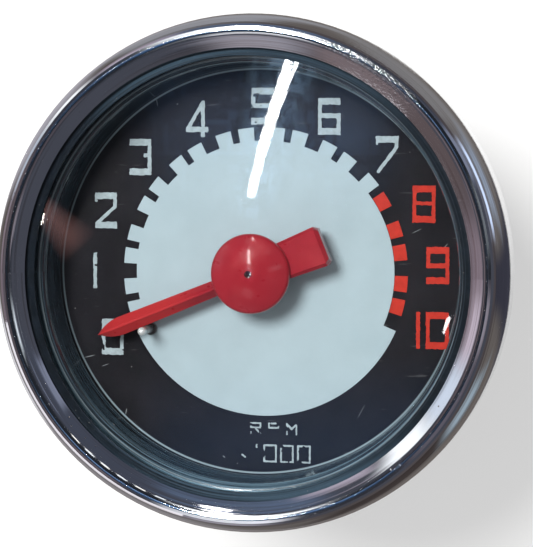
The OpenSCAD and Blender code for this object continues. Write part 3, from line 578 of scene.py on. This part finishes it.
def felt():
    """Oiled felt, brown and fuzzy."""
    s = Surface("felt_brown", (0.13, 0.085, 0.04), 0.9, Sheen_Weight=0.4)
    s.mottle(0.5, 0.6, 1.3, 5)
    s.bump(s.noise(0.15, 5), 0.06)
    return s.done()


def jewel():
    """A polished red bearing stone."""
    s = Surface("jewel_red", (0.34, 0.006, 0.03), 0.08, Coat_Weight=0.6)
    s.mottle(0.6, 0.8, 1.15)
    s.polish(s.noise(0.4), 0.05, 0.12)
    return s.done()


MATERIALS = {
    "chromed_bezel": chrome(),
    "gasket_rubber": rubber(),
    "lens_glass": glass(),
    "black_spacer": spacer_black(),
    "dial_black": dial_black(),
    "dial_white": dial_white(),
    "dial_red": dial_red(),
    "pointer_red": pointer_red(),
    "bright_steel": metal("bright_steel", (0.56, 0.56, 0.57), 0.14, 0.30, lathe=True),
    "turned_brass": metal("turned_brass", (0.62, 0.42, 0.15), 0.16, 0.34, lathe=True,
                          stain=(0.26, 0.15, 0.06)),
    "cup_aluminium": metal("cup_aluminium", (0.72, 0.73, 0.74), 0.22, 0.38, lathe=True),
    "spring_bronze": metal("spring_bronze", (0.50, 0.30, 0.15), 0.18, 0.30),
    "plated_steel": metal("plated_steel", (0.58, 0.57, 0.53), 0.24, 0.44, stain=(0.36, 0.33, 0.27)),
    "cast_zinc": metal("cast_zinc", (0.42, 0.43, 0.44), 0.36, 0.56, 0.5, 0.02, stain=(0.28, 0.28, 0.28)),
    "soft_iron": metal("soft_iron", (0.16, 0.16, 0.17), 0.42, 0.6, stain=(0.12, 0.09, 0.07)),
    "magnet_grey": metal("magnet_grey", (0.09, 0.09, 0.10), 0.45, 0.65, 0.5, 0.015),
    "compensator_alloy": metal("compensator_alloy", (0.38, 0.36, 0.33), 0.28, 0.44),
    "jewel_red": jewel(),
    "sintered_bronze": metal("sintered_bronze", (0.36, 0.20, 0.09), 0.4, 0.6, 0.2, 0.02,
                             stain=(0.14, 0.09, 0.05)),
    "felt_brown": felt(),
    "spring_steel": metal("spring_steel", (0.14, 0.15, 0.19), 0.26, 0.42),
    "case_paint": case_enamel(),
}
# Print of the figures and the legend, by its slot
PRINTS = {"dial_white": figure_white(), "dial_red": MATERIALS["dial_red"]}
# Nodes that differ in finish from the rest of their slot; the stop pin's carries a painted highlight at
# its tip
FINISHES = {"stop_pin": pin_steel()}


def dress_nodes():
    """Each node of the frame takes its own finish, or else the material of its slot in the record."""
    for part in frame["record"]["subparts"]:
        node = frame["nodes"][part["node"]]
        node.data.materials.clear()
        node.data.materials.append(FINISHES.get(part["node"], MATERIALS[part["material_slot"]]))


def add_piece(name, mesh, material):
    """A new piece of the object's case, made in the frame's own place."""
    piece = add_object(name, mesh)
    mesh.materials.append(material)
    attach(piece, "case")
    return piece


# Figures on the dial

# Width and height of a figure, and its thick and thin strokes, in millimetres
FIGURE_W = 2.9
FIGURE_H = 4.65
THICK = 0.85
THIN = 0.48
SLANT = 0.44
# Gap between the two figures of the last number, in millimetres
TEN_GAP = 0.75
# Places of the figures' middles on the dial, in millimetres from the pointer's axis
FIGURES = [
    ("0", -19.2, -8.7), ("1", -21.6, -0.1), ("2", -20.1, 7.7), ("3", -15.5, 14.6), ("4", -8.0, 19.5),
    ("5", 0.5, 21.1), ("6", 9.1, 19.8), ("7", 16.5, 15.0), ("8", 21.2, 8.8), ("9", 23.0, 1.1),
    ("10", 22.4, -7.1),
]
UNIT_PLACE = (2.1, -20.1)
FACTOR_PLACE = (2.4, -23.3)
RED_FROM = 8
# Share of a figure's print that is rubbed away, and how ragged its edges are
FIGURE_WEAR = {"0": 0.03, "1": 0.10, "5": 0.02}
FIGURE_RAGGED = 0.05
# Thickness of the print, step of the grid that it is traced on, and free edge round it, in millimetres
PRINT_THICKNESS = 0.03
PRINT_STEP = 0.09
PRINT_MARGIN = 0.3
# Coarse and fine features of the print's edge, and of its rubbed patches, in millimetres
EDGE_COARSE = 0.3
EDGE_FINE = 0.13
RUB_COARSE = 0.75
RUB_FINE = 0.3
# Cells of the seeded noise before it repeats
LATTICE = 64


def smooth_noise(x, y, size, seed):
    """Seeded soft noise from -1 to 1 at the points x, y, with features of the given size."""
    lattice = np.random.default_rng(seed).uniform(-1, 1, (LATTICE, LATTICE))
    u, v = x / size + LATTICE / 2, y / size + LATTICE / 2
    i, j = np.floor(u).astype(int), np.floor(v).astype(int)
    f, g = u - i, v - j
    f, g = f * f * (3 - 2 * f), g * g * (3 - 2 * g)
    i0, j0, i1, j1 = i % LATTICE, j % LATTICE, (i + 1) % LATTICE, (j + 1) % LATTICE
    low = lattice[i0, j0] * (1 - f) + lattice[i1, j0] * f
    high = lattice[i0, j1] * (1 - f) + lattice[i1, j1] * f
    return low * (1 - g) + high * g


def bar(x0, y0, x1, y1):
    """Signed distance to an upright rectangle."""
    def distance(x, y):
        dx = abs(x - (x0 + x1) / 2) - (x1 - x0) / 2
        dy = abs(y - (y0 + y1) / 2) - (y1 - y0) / 2
        outside = np.hypot(np.maximum(dx, 0), np.maximum(dy, 0))
        return outside + np.minimum(np.maximum(dx, dy), 0)
    return distance


def slant(x0, y0, x1, y1, width):
    """Signed distance to a sloping stroke."""
    def distance(x, y):
        dx, dy = x1 - x0, y1 - y0
        t = np.clip(((x - x0) * dx + (y - y0) * dy) / (dx * dx + dy * dy), 0, 1)
        return np.hypot(x - x0 - t * dx, y - y0 - t * dy) - width / 2
    return distance


def figure_strokes(figure):
    """The strokes of one figure, with the origin at its lower left corner."""
    w, h, thick, thin = FIGURE_W, FIGURE_H, THICK, THIN
    top, bottom = bar(0, h - thick, w, h), bar(0, 0, w, thick)
    left, right = bar(0, 0, thin, h), bar(w - thin, 0, w, h)
    upper_left, lower_right = bar(0, 0.45 * h, thin, h), bar(w - thin, 0, w, 0.58 * h)
    middle = bar(0, 0.45 * h, w, 0.58 * h)
    return {
        "0": [top, bottom, left, right],
        "1": [bar(0.44 * w, 0, 0.44 * w + thin, h)],
        "2": [top, bottom, bar(0, 0.74 * h, 0.1 * w, h), bar(w - thin, 0.6 * h, w, h),
              slant(w - thin / 2, 0.6 * h, 0.12 * w, 0.16 * h, SLANT)],
        "3": [top, bottom, right, bar(0.66 * w, 0.5 * h, w, 0.6 * h)],
        "4": [bar(0.68 * w, 0, 0.68 * w + thin, h), bar(0, 0.14 * h, w, 0.28 * h),
              slant(0.76 * w, 0.96 * h, 0.1 * w, 0.26 * h, SLANT)],
        "5": [top, bottom, upper_left, middle, lower_right],
        "6": [top, bottom, left, middle, lower_right],
        "7": [top, bar(0, 0.76 * h, 0.1 * w, h), bar(w - thin, 0.7 * h, w, h),
              slant(w - thin / 2, 0.7 * h, 0.12 * w, 0.04 * h, SLANT)],
        "8": [top, bottom, left, right, bar(0, 0.47 * h, w, 0.57 * h)],
        "9": [top, bottom, right, upper_left, bar(0, 0.43 * h, w, 0.56 * h)],
    }[figure]


def shifted(strokes, dx):
    """The same strokes, further to the right."""
    return [lambda x, y, s=s: s(x - dx, y) for s in strokes]


def print_field(strokes, width, height, seed, ragged, wear):
    """A grid of places over the print and the signed distance to its worn edge, all in millimetres."""
    along = np.arange(int((width + 2 * PRINT_MARGIN) / PRINT_STEP) + 1) * PRINT_STEP - PRINT_MARGIN
    up = np.arange(int((height + 2 * PRINT_MARGIN) / PRINT_STEP) + 1) * PRINT_STEP - PRINT_MARGIN
    x, y = np.meshgrid(along, up, indexing="ij")
    field = np.minimum.reduce([s(x, y) for s in strokes])
    field = field + ragged * smooth_noise(x, y, EDGE_COARSE, seed)
    field = field + 0.5 * ragged * smooth_noise(x, y, EDGE_FINE, seed + 1)
    if wear > 0:
        coarse = smooth_noise(x, y, RUB_COARSE, seed + 2)
        rubbed = 0.6 * coarse + 0.4 * smooth_noise(x, y, RUB_FINE, seed + 3)
        field = np.maximum(field, (rubbed - (1 - 2 * wear) * 0.5) * 0.5)
    return x, y, field


def worn_print(name, strokes, width, height, centre, slot, seed, ragged, wear):
    """A thin printed shape with ragged edges, from strokes in a box of the given width and height.

    Where wear is above 0, patches of the print are rubbed away.
    """
    x, y, field = print_field(strokes, width, height, seed, ragged, wear)
    columns, rows = field.shape
    bm = bmesh.new()
    found = {}

    def corner(i, j):
        key = (i, j)
        if key not in found:
            found[key] = bm.verts.new((x[i, j], y[i, j], 0))
        return found[key]

    def crossing(a, b):
        key = (a, b) if a < b else (b, a)
        if key not in found:
            (i, j), (k, m) = key
            t = min(max(field[i, j] / (field[i, j] - field[k, m]), 0.05), 0.95)
            place = (x[i, j] + t * (x[k, m] - x[i, j]), y[i, j] + t * (y[k, m] - y[i, j]), 0)
            found[key] = bm.verts.new(place)
        return found[key]

    inside = field < 0
    for i in range(columns - 1):
        for j in range(rows - 1):
            corners = [(i, j), (i + 1, j), (i + 1, j + 1), (i, j + 1)]
            if not any(inside[c] for c in corners):
                continue
            ring = []
            for a, b in zip(corners, corners[1:] + corners[:1]):
                if inside[a]:
                    ring.append(corner(*a))
                if inside[a] != inside[b]:
                    ring.append(crossing(a, b))
            if len(ring) >= 3:
                bm.faces.new(ring)
    bm.normal_update()
    bmesh.ops.solidify(bm, geom=bm.faces[:], thickness=-PRINT_THICKNESS)
    bmesh.ops.recalc_face_normals(bm, faces=bm.faces[:])
    place = Matrix.Translation((centre[0] * MM, centre[1] * MM, FACE_Z))
    scale = Matrix.Scale(MM, 4)
    middle = Matrix.Translation((-width / 2, -height / 2, 0))
    bm.transform(place @ scale @ middle)
    add_piece(name, mesh_of(bm, name), PRINTS[slot])


def print_figures():
    """The scale's figures, each with wear of its own."""
    for seed, (text, x, y) in enumerate(FIGURES):
        slot = "dial_red" if int(text) >= RED_FROM else "dial_white"
        strokes, width = figure_strokes(text[-1]), FIGURE_W
        if text == "10":
            step = THIN + TEN_GAP
            strokes = [bar(0, 0, THIN, FIGURE_H)] + shifted(strokes, step)
            width = FIGURE_W + step
        worn_print("figure_" + text, strokes, width, FIGURE_H, (x, y), slot, seed=10 * seed + 3,
                   ragged=FIGURE_RAGGED, wear=FIGURE_WEAR.get(text, 0.0))


# The legend's thin stroke, the size of its letters and of its noughts, and the steps between them
LEGEND_THIN = 0.22
LETTER_W = 1.45
LETTER_H = 1.55
LETTER_STEP = 2.35
NOUGHT_W = 1.75
NOUGHT_H = 2.3
NOUGHT_STEP = 2.2
# Places of the apostrophe and of the first nought in the legend's second line
APOSTROPHE_X = 1.9
NOUGHTS_X = 2.9
LEGEND_RAGGED = 0.03
UNIT_WEAR = 0.26
FACTOR_WEAR = 0.24


def print_unit():
    """The scale's plain unit in thin worn strokes: r p m."""
    thin, w, h = LEGEND_THIN, LETTER_W, LETTER_H
    bowl = [bar(0, h / 2, thin, h), bar(0, h - thin, w, h), bar(w - thin, h / 2, w, h),
            bar(0, h / 2, w, h / 2 + thin)]
    r = bowl + [bar(0, 0, thin, h / 4), slant(w / 2, h / 2, w - thin / 2, thin / 2, thin)]
    m = [bar(0, 0, thin, h), bar(w - thin, 0, w, h), slant(thin / 2, h - thin / 2, w / 2, h / 2, thin),
         slant(w - thin / 2, h - thin / 2, w / 2, h / 2, thin)]
    strokes = r + shifted(bowl, LETTER_STEP) + shifted(m, 2 * LETTER_STEP)
    worn_print("legend_unit", strokes, 2 * LETTER_STEP + w, h, UNIT_PLACE, "dial_white",
               seed=211, ragged=LEGEND_RAGGED, wear=UNIT_WEAR)


def print_factor():
    """The scale's factor in thin worn strokes: a dot, an apostrophe and three noughts."""
    thin, w, h = LEGEND_THIN, NOUGHT_W, NOUGHT_H
    nought = [bar(0, 0, thin, h), bar(w - thin, 0, w, h), bar(0, 0, w, thin), bar(0, h - thin, w, h)]
    dot = [slant(0.1, 0.9, 0.5, 0.6, thin)]
    apostrophe = shifted([bar(0, 0.8 * h, thin, h)], APOSTROPHE_X)
    noughts = [s for k in range(3) for s in shifted(nought, NOUGHTS_X + k * NOUGHT_STEP)]
    worn_print("legend_factor", dot + apostrophe + noughts, NOUGHTS_X + 2 * NOUGHT_STEP + w, h,
               FACTOR_PLACE, "dial_white", seed=305, ragged=LEGEND_RAGGED, wear=FACTOR_WEAR)


# Threads

THREAD_SEGMENTS = 40
# Radius over the crests, pitch, depth and upper end of the two threads, in millimetres
NECK_THREAD = {"radius": 6.0, "pitch": 1.0, "depth": 0.58, "high_z": -31.0}
STUD_THREAD = {"radius": 2.5, "pitch": 0.8, "depth": 0.46, "high_z": -30.9}
# Radius of the studs' collars
STUD_COLLAR_R = 4
# The cutters start this far below the rods and stand this far out of them
NECK_RUN_IN = 0.6
STUD_RUN_IN = 0.5
CUTTER_OUT = 0.06
# Half widths of the thread's root and of its gap at the crest, as shares of the pitch
ROOT_SHARE = 0.07
GAP_SHARE = 0.47


def thread_cutter(name, centre, low_z, radius, pitch, depth, high_z):
    """A helical ridge that, cut out of a plain rod, leaves its thread. Sizes in millimetres."""
    root_r, out_r = radius - depth, radius + CUTTER_OUT
    section = [(root_r, -ROOT_SHARE * pitch), (out_r, -GAP_SHARE * pitch),
               (out_r, GAP_SHARE * pitch), (root_r, ROOT_SHARE * pitch)]
    steps = int((high_z - low_z) / pitch * THREAD_SEGMENTS)
    bm = bmesh.new()
    last = None
    for i in range(steps + 1):
        angle = 2 * math.pi * i / THREAD_SEGMENTS
        z = low_z + (high_z - low_z) * i / steps
        ring = []
        for r, dz in section:
            x, y = centre[0] + r * math.cos(angle), centre[1] + r * math.sin(angle)
            ring.append(bm.verts.new((x * MM, y * MM, (z + dz) * MM)))
        if last:
            for k in range(4):
                bm.faces.new((last[k], last[(k + 1) % 4], ring[(k + 1) % 4], ring[k]))
        else:
            bm.faces.new(ring[::-1])
        last = ring
    bm.faces.new(last)
    bmesh.ops.recalc_face_normals(bm, faces=bm.faces[:])
    return mesh_of(bm, name)


def cut_threads(node, cuts):
    """Cuts threads into a node of the frame with a modifier, and hides the cutter."""
    bm = bmesh.new()
    for centre, low_z, thread in cuts:
        mesh = thread_cutter("cutter", centre, low_z, **thread)
        bm.from_mesh(mesh)
        bpy.data.meshes.remove(mesh)
    cutter = add_object(node + "_thread_cutter", mesh_of(bm, node + "_thread_cutter"))
    cutter.hide_render = True
    cutter.hide_viewport = True
    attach(cutter, "case")
    modifier = frame["nodes"][node].modifiers.new("thread", "BOOLEAN")
    modifier.operation = "DIFFERENCE"
    modifier.solver = "EXACT"
    modifier.object = cutter


def make_threads():
    """The threads of the neck and of the two studs."""
    neck_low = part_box("movement_frame")[0].z / MM - NECK_RUN_IN
    stud_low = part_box("mounting_studs")[0].z / MM - STUD_RUN_IN
    stud_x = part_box("mounting_studs")[1].x / MM - STUD_COLLAR_R
    cut_threads("movement_frame", [((0, 0), neck_low, NECK_THREAD)])
    cut_threads("mounting_studs", [((side * stud_x, 0), stud_low, STUD_THREAD) for side in (-1, 1)])


# Stage and light

# The lamp that casts the shadows: azimuth and elevation, distance, width, power and colour
KEY_DIRECTION = (125, 68)
KEY_DISTANCE = 1.1
KEY_SIZE = 0.4
KEY_POWER = 14.2
KEY_COLOUR = (1.0, 0.99, 0.975)
# Light from all round
WORLD_LIGHT = 0.45
# Share of the floor's colour that shows without shading
FLOOR_GLOW = 0.45
FLOOR_HALF = 6.0
# The dome round the object, and its mesh's steps in degrees, above and below the horizon
DOME_RADIUS = 1.6
DOME_STEP = 1.5
TABLE_STEP = 2
TABLE_LOW = -80


def emission(name, colour=(1, 1, 1), strength=1.0, attribute=None, clear=False):
    """Plain light, from a colour or the mesh's own colours, that can let through what lies behind."""
    material = new_material(name)
    material.cycles.emission_sampling = "NONE"
    n = Nodes(material.node_tree, empty=True)
    glow = n.fill(n.add("ShaderNodeEmission"), Color=(*colour, 1), Strength=strength)
    if attribute:
        n.fill(glow, Color=n.add("ShaderNodeAttribute", attribute_name=attribute).outputs["Color"])
    light = glow.outputs["Emission"]
    if clear:
        both = n.add("ShaderNodeAddShader")
        n.put(light, both.inputs[0])
        n.put(n.add("ShaderNodeBsdfTransparent").outputs["BSDF"], both.inputs[1])
        light = both.outputs["Shader"]
    n.fill(n.add("ShaderNodeOutputMaterial"), Surface=light)
    return material


def only_mirrored(name, mesh, material):
    """An object of the stage that shows in reflections alone."""
    mesh.materials.append(material)
    stand_in = add_object(name, mesh)
    stand_in.visible_camera = False
    stand_in.visible_diffuse = False
    stand_in.visible_transmission = False
    stand_in.visible_shadow = False
    stand_in.visible_volume_scatter = False


def give_light(mesh, light):
    """Gives each corner of a mesh a light of its own."""
    colours = np.ones((len(light), 4), np.float32)
    colours[:, :3] = light
    layer = mesh.color_attributes.new("light", "FLOAT_COLOR", "POINT")
    layer.data.foreach_set("color", colours.ravel())


# What the room shows in a mirror, from below the horizon to the zenith, and where the tones change
ROOM_BELOW = (0.17, 0.15, 0.14)
ROOM_LOW = (0.10, 0.085, 0.09)
ROOM_MIDDLE = (0.080, 0.085, 0.110)
ROOM_HIGH = (0.022, 0.026, 0.034)
TO_LOW = (-20, 5)
TO_MIDDLE = (5, 30)
TO_HIGH = (45, 70)
# Its patches: azimuth, elevation, half width, half height and softness in degrees, and the light
PATCHES = [
    # low round the horizon, in the bezel's flank
    (55, -35, 17, 30, 8, (0.27, 0.26, 0.265)),
    (112, -35, 20, 30, 7, (0.38, 0.38, 0.41)),
    (152, -35, 14, 30, 8, (0.50, 0.48, 0.53)),
    (225, -35, 30, 25, 12, (0.33, 0.31, 0.32)),
    (298, -28, 20, 22, 8, (0.065, 0.052, 0.050)),
    (323, -30, 8, 17, 5, (0.40, 0.50, 0.58)),
    (356, -38, 9, 42, 5, (0.05, 0.05, 0.07)),
    (22, -8, 12, 13, 4, (0.95, 1.12, 1.5)),
    (24, -40, 10, 12, 6, (0.36, 0.42, 0.53)),
    (200, -38, 12, 18, 6, (0.85, 0.83, 0.88)),
    # at the height that the slope beside the window mirrors
    (183, 24, 14, 14, 7, (0.30, 0.235, 0.275)),
    (210, 20, 14, 14, 8, (0.15, 0.115, 0.12)),
    (232, 24, 9, 14, 7, (0.27, 0.21, 0.22)),
    (254, 24, 10, 13, 6, (0.42, 0.40, 0.46)),
    (100, 29, 24, 9, 6, (0.13, 0.175, 0.27)),
    (52, 40, 30, 10, 8, (0.075, 0.085, 0.12)),
    (33, 34, 8, 5, 3, (0.28, 0.31, 0.42)),
    (128, 19, 9, 5, 4, (0.62, 0.55, 0.66)),
    (172, 27, 8, 11, 4, (0.74, 0.63, 0.73)),
    (160, 25, 7, 11, 4, (0.86, 0.96, 1.12)),
    (147, 25, 6, 11, 4, (1.6, 1.65, 1.7)),
    # high up, in the bezel's crest
    (195, 56, 34, 6, 4, (0.21, 0.17, 0.19)),
    (246, 58, 12, 5, 4, (1.3, 1.32, 1.4)),
    (117, 63, 20, 5, 4, (1.9, 1.95, 2.0)),
    (13, 62, 7, 8, 4, (1.1, 1.2, 1.3)),
    (308, 67, 22, 6, 5, (0.16, 0.145, 0.18)),
    (334, 67, 8, 8, 5, (0.36, 0.33, 0.39)),
]
# Height over the table top from which the bezel's flank sees it, and the table top's over the floor
ROOM_DEPTH = 52 * MM
TABLE_LIFT = 0.4 * MM


def room_colour(azimuth, elevation):
    """The room's light in each direction, in degrees."""
    colour = np.array(ROOM_BELOW)
    for (low, high), tone in ((TO_LOW, ROOM_LOW), (TO_MIDDLE, ROOM_MIDDLE), (TO_HIGH, ROOM_HIGH)):
        part = np.clip((elevation - low) / (high - low), 0, 1)[..., None]
        colour = colour * (1 - part) + np.array(tone) * part
    for az, el, half_w, half_h, soft, tone in PATCHES:
        shrink = np.cos(np.radians(elevation)) / math.cos(math.radians(el))
        across = abs((azimuth - az + 180) % 360 - 180) * shrink
        edge = np.maximum(across - half_w, abs(elevation - el) - half_h)
        share = np.clip(0.5 - edge / (2 * soft), 0, 1)[..., None]
        share = share * share * (3 - 2 * share)
        colour = colour * (1 - share) + np.array(tone) * share
    return colour


def room_point(azimuth, elevation):
    """A place on the dome, or below the horizon on the table top round the object."""
    if elevation >= 0:
        return direction(azimuth, elevation) * DOME_RADIUS
    reach = CAD_BOX[1].x + ROOM_DEPTH / math.tan(math.radians(-elevation))
    flat = direction(azimuth, 0) * min(reach, DOME_RADIUS)
    return Vector((flat.x, flat.y, FLOOR_Z + TABLE_LIFT))


def make_room():
    """A dome and a table top that stand for the room, seen only in mirror reflections."""
    azimuths = np.arange(0, 360, DOME_STEP)
    elevations = np.concatenate((np.arange(TABLE_LOW, 0, TABLE_STEP), np.arange(0, 90, DOME_STEP)))
    bm = bmesh.new()
    rows = [[bm.verts.new(room_point(a, e)) for a in azimuths] for e in elevations]
    top = bm.verts.new((0, 0, DOME_RADIUS))
    count = len(azimuths)
    for below, above in zip(rows, rows[1:]):
        for k in range(count):
            bm.faces.new((below[k], below[(k + 1) % count], above[(k + 1) % count], above[k]))
    for k in range(count):
        bm.faces.new((rows[-1][k], rows[-1][(k + 1) % count], top))
    mesh = mesh_of(bm, "room")
    azimuth, elevation = np.meshgrid(azimuths, elevations)
    give_light(mesh, np.vstack((room_colour(azimuth.ravel(), elevation.ravel()), [ROOM_HIGH])))
    only_mirrored("room", mesh, emission("room_light", attribute="light"))


# Height of the mirrored lamps over the glass
GLARE_HEIGHT = 1000 * MM


def glare_point(x, y):
    """The place of a lamp whose mirror image the camera sees at x, y millimetres on the glass."""
    eye = camera_place()[0]
    spot = Vector((x * MM, y * MM, GLASS_Z))
    bounce = (spot - eye) / (eye.z - GLASS_Z)
    return spot + Vector((bounce.x, bounce.y, 1)) * GLARE_HEIGHT


def glare(name, start, end, width_start, width_end, strength, colour, sharp=2.0, bow=0.0):
    """A soft lamp that the glass mirrors between two places on it, in millimetres.

    The light adds to what lies behind it, and fades towards its rim. Its middle bows to the left.
    """
    along_steps, across_steps = 24, 12
    run = Vector(end) - Vector(start)
    side = Vector((-run.y, run.x)).normalized()
    bm = bmesh.new()
    rows, light = [], []
    for i in range(along_steps + 1):
        t = i / along_steps
        middle = Vector(start) + run * t + side * bow * 4 * t * (1 - t)
        width = width_start + (width_end - width_start) * t
        row = []
        for j in range(across_steps + 1):
            s = 2 * j / across_steps - 1
            place = middle + side * s * width / 2
            row.append(bm.verts.new(glare_point(place.x, place.y)))
            fade = max(0, 1 - abs(s) ** sharp) * max(0, 1 - abs(2 * t - 1) ** (3 * sharp))
            light.append(strength * fade)
        rows.append(row)
    for low, high in zip(rows, rows[1:]):
        for j in range(across_steps):
            bm.faces.new((low[j], low[j + 1], high[j + 1], high[j]))
    mesh = mesh_of(bm, name)
    give_light(mesh, np.outer(light, colour))
    only_mirrored(name, mesh, emission(name + "_light", attribute="light", clear=True))


def glow_strip(name, start, end, width, strength, colour):
    """A window pane, as a flat strip that faces the dial and shows in reflections alone."""
    start, end = Vector(start), Vector(end)
    along = (end - start).normalized()
    across = along.cross((start + end) / 2).normalized() * width / 2
    mesh = mesh_from(name, [start - across, end - across, end + across, start + across], [(0, 1, 2, 3)])
    only_mirrored(name, mesh, emission(name + "_light", colour, strength))


def rim_lamp(name, azimuths, radius, heights, colour):
    """A short upright band of light close beside the bezel, seen only in its crest. Metres and degrees."""
    steps = 12
    start, end = azimuths
    corners = [direction(start + (end - start) * i / steps, 0) * radius + Vector((0, 0, z))
               for i in range(steps + 1) for z in heights]
    faces = [(2 * i, 2 * i + 1, 2 * i + 3, 2 * i + 2) for i in range(steps)]
    only_mirrored(name, mesh_from(name, corners, faces), emission(name + "_light", colour))


def seen_or_mirrored(nodes):
    """1 for rays from the camera, a mirror or a glass, 0 for rays that carry light."""
    path = nodes.add("ShaderNodeLightPath")
    value = path.outputs["Is Camera Ray"]
    for ray in ("Is Glossy Ray", "Is Transmission Ray"):
        value = nodes.math("MAXIMUM", value, path.outputs[ray])
    return value


def make_floor():
    """A large pale floor that carries the object's shadow and is clear from below."""
    corners = [(x * FLOOR_HALF, y * FLOOR_HALF, FLOOR_Z) for x, y in ((-1, -1), (1, -1), (1, 1), (-1, 1))]
    floor = add_object("floor", mesh_from("floor", corners, [(0, 1, 2, 3)]))
    s = Surface("floor_paper", (0.94, 0.94, 0.94), 0.8)
    s.mottle(60, 0.985, 1.0)
    material = s.done()
    white = s.add("ShaderNodeEmission").outputs["Emission"]
    lit = s.mix(s.times(seen_or_mirrored(s), FLOOR_GLOW), s.shader.outputs["BSDF"], white)
    below = s.add("ShaderNodeNewGeometry").outputs["Backfacing"]
    clear = s.add("ShaderNodeBsdfTransparent").outputs["BSDF"]
    s.fill(s.tree.nodes["Material Output"], Surface=s.mix(below, lit, clear))
    floor.data.materials.append(material)


def make_lights():
    """Even light from all round, and one soft lamp at the upper left."""
    world = bpy.data.worlds.new("studio")
    bpy.context.scene.world = world
    world.use_nodes = True
    n = Nodes(world.node_tree)
    level = n.fill(n.add("ShaderNodeMapRange"), Value=seen_or_mirrored(n), To_Min=WORLD_LIGHT, To_Max=1.0)
    n.fill(n.tree.nodes["Background"], Color=(1, 1, 1, 1), Strength=level.outputs["Result"])

    data = bpy.data.lights.new("key", "AREA")
    data.shape = "DISK"
    data.size = KEY_SIZE
    data.energy = KEY_POWER
    data.color = KEY_COLOUR
    key = add_object("key", data)
    towards = direction(*KEY_DIRECTION)
    key.location = towards * KEY_DISTANCE
    key.rotation_mode = "QUATERNION"
    key.rotation_quaternion = towards.to_track_quat("Z", "Y")
    key.visible_glossy = False


# Light colours of the mirrored lamps
TUBE_WHITE = (0.97, 0.99, 1.0)
FAR_WHITE = (1.0, 0.97, 0.98)


def make_mirrored_lamps():
    """The lamp tube that the glass mirrors, the others that the hub shows, and the glow beside them."""
    glare("tube", (0.7, 9.5), (6.6, 28.2), 1.1, 1.9, 160, TUBE_WHITE, sharp=2.2, bow=0.45)
    glare("tube_far", (5.0, 50.0), (-2.0, 126.0), 10.0, 14.0, 45, FAR_WHITE, sharp=3.0)
    glare("tube_next", (6.7, 212.0), (6.7, 262.0), 30.0, 36.0, 25, FAR_WHITE, sharp=2.0)
    glare("tube_glow", (0.3, 6.0), (7.5, 33.0), 6.0, 12.0, 3.4, (0.42, 0.68, 1.0), sharp=1.2, bow=0.45)
    glare("disc_glow", (-13.0, 17.0), (19.5, 17.0), 20.0, 20.0, 1.3, (0.32, 0.56, 1.0), sharp=1.0)
    glare("top_glow", (-16.0, 17.0), (22.0, 17.0), 26.0, 26.0, 0.35, (0.30, 0.50, 1.0), sharp=1.0)
    glare("low_glow", (-14.0, -22.0), (28.0, -20.0), 22.0, 22.0, 0.45, (0.12, 0.42, 1.0), sharp=1.3)
    glare("edge_spark", (24.6, -6.8), (25.4, -4.6), 0.25, 0.5, 40, (1.0, 1.0, 1.0))
    glare("warm_glow", (-28.0, 10.5), (-21.0, 3.0), 2.0, 6.5, 1.7, (1.0, 0.50, 0.46), sharp=1.3)
    glare("warm_spark", (-26.4, 6.0), (-25.9, 7.6), 0.8, 0.5, 90, (1.0, 0.9, 0.86))
    rim_lamp("left_line", (192, 252), 50 * MM, (14 * MM, 22 * MM), (1.25, 1.20, 1.27))


# Six panes of a window in the bezel's inner crest: first azimuth and step, in degrees
PANES = 6
PANE_AZIMUTH = 57.5
PANE_STEP = 5.8
# Their lower and upper edges: how far they lean from that azimuth, and elevation, in degrees
PANE_LOW = (3, 50)
PANE_HIGH = (-3, 62)
# Distance, width, strength and two colours that take turns
PANE_DISTANCE = 1.4
PANE_WIDTH = 0.040
PANE_LIGHT = 1.6
PANE_COLOURS = [(1.0, 0.98, 0.93), (0.90, 0.95, 1.0)]


def make_panes():
    """The window's panes, side by side."""
    for k in range(PANES):
        azimuth = PANE_AZIMUTH + PANE_STEP * k
        low, high = [direction(azimuth + lean, elevation) * PANE_DISTANCE
                     for lean, elevation in (PANE_LOW, PANE_HIGH)]
        glow_strip(f"pane_{k}", low, high, PANE_WIDTH, PANE_LIGHT, PANE_COLOURS[k % 2])


bpy.context.scene.view_settings.view_transform = "Standard"
make_camera()
dress_nodes()
print_figures()
print_unit()
print_factor()
make_threads()
make_floor()
make_lights()
make_room()
make_mirrored_lamps()
make_panes()
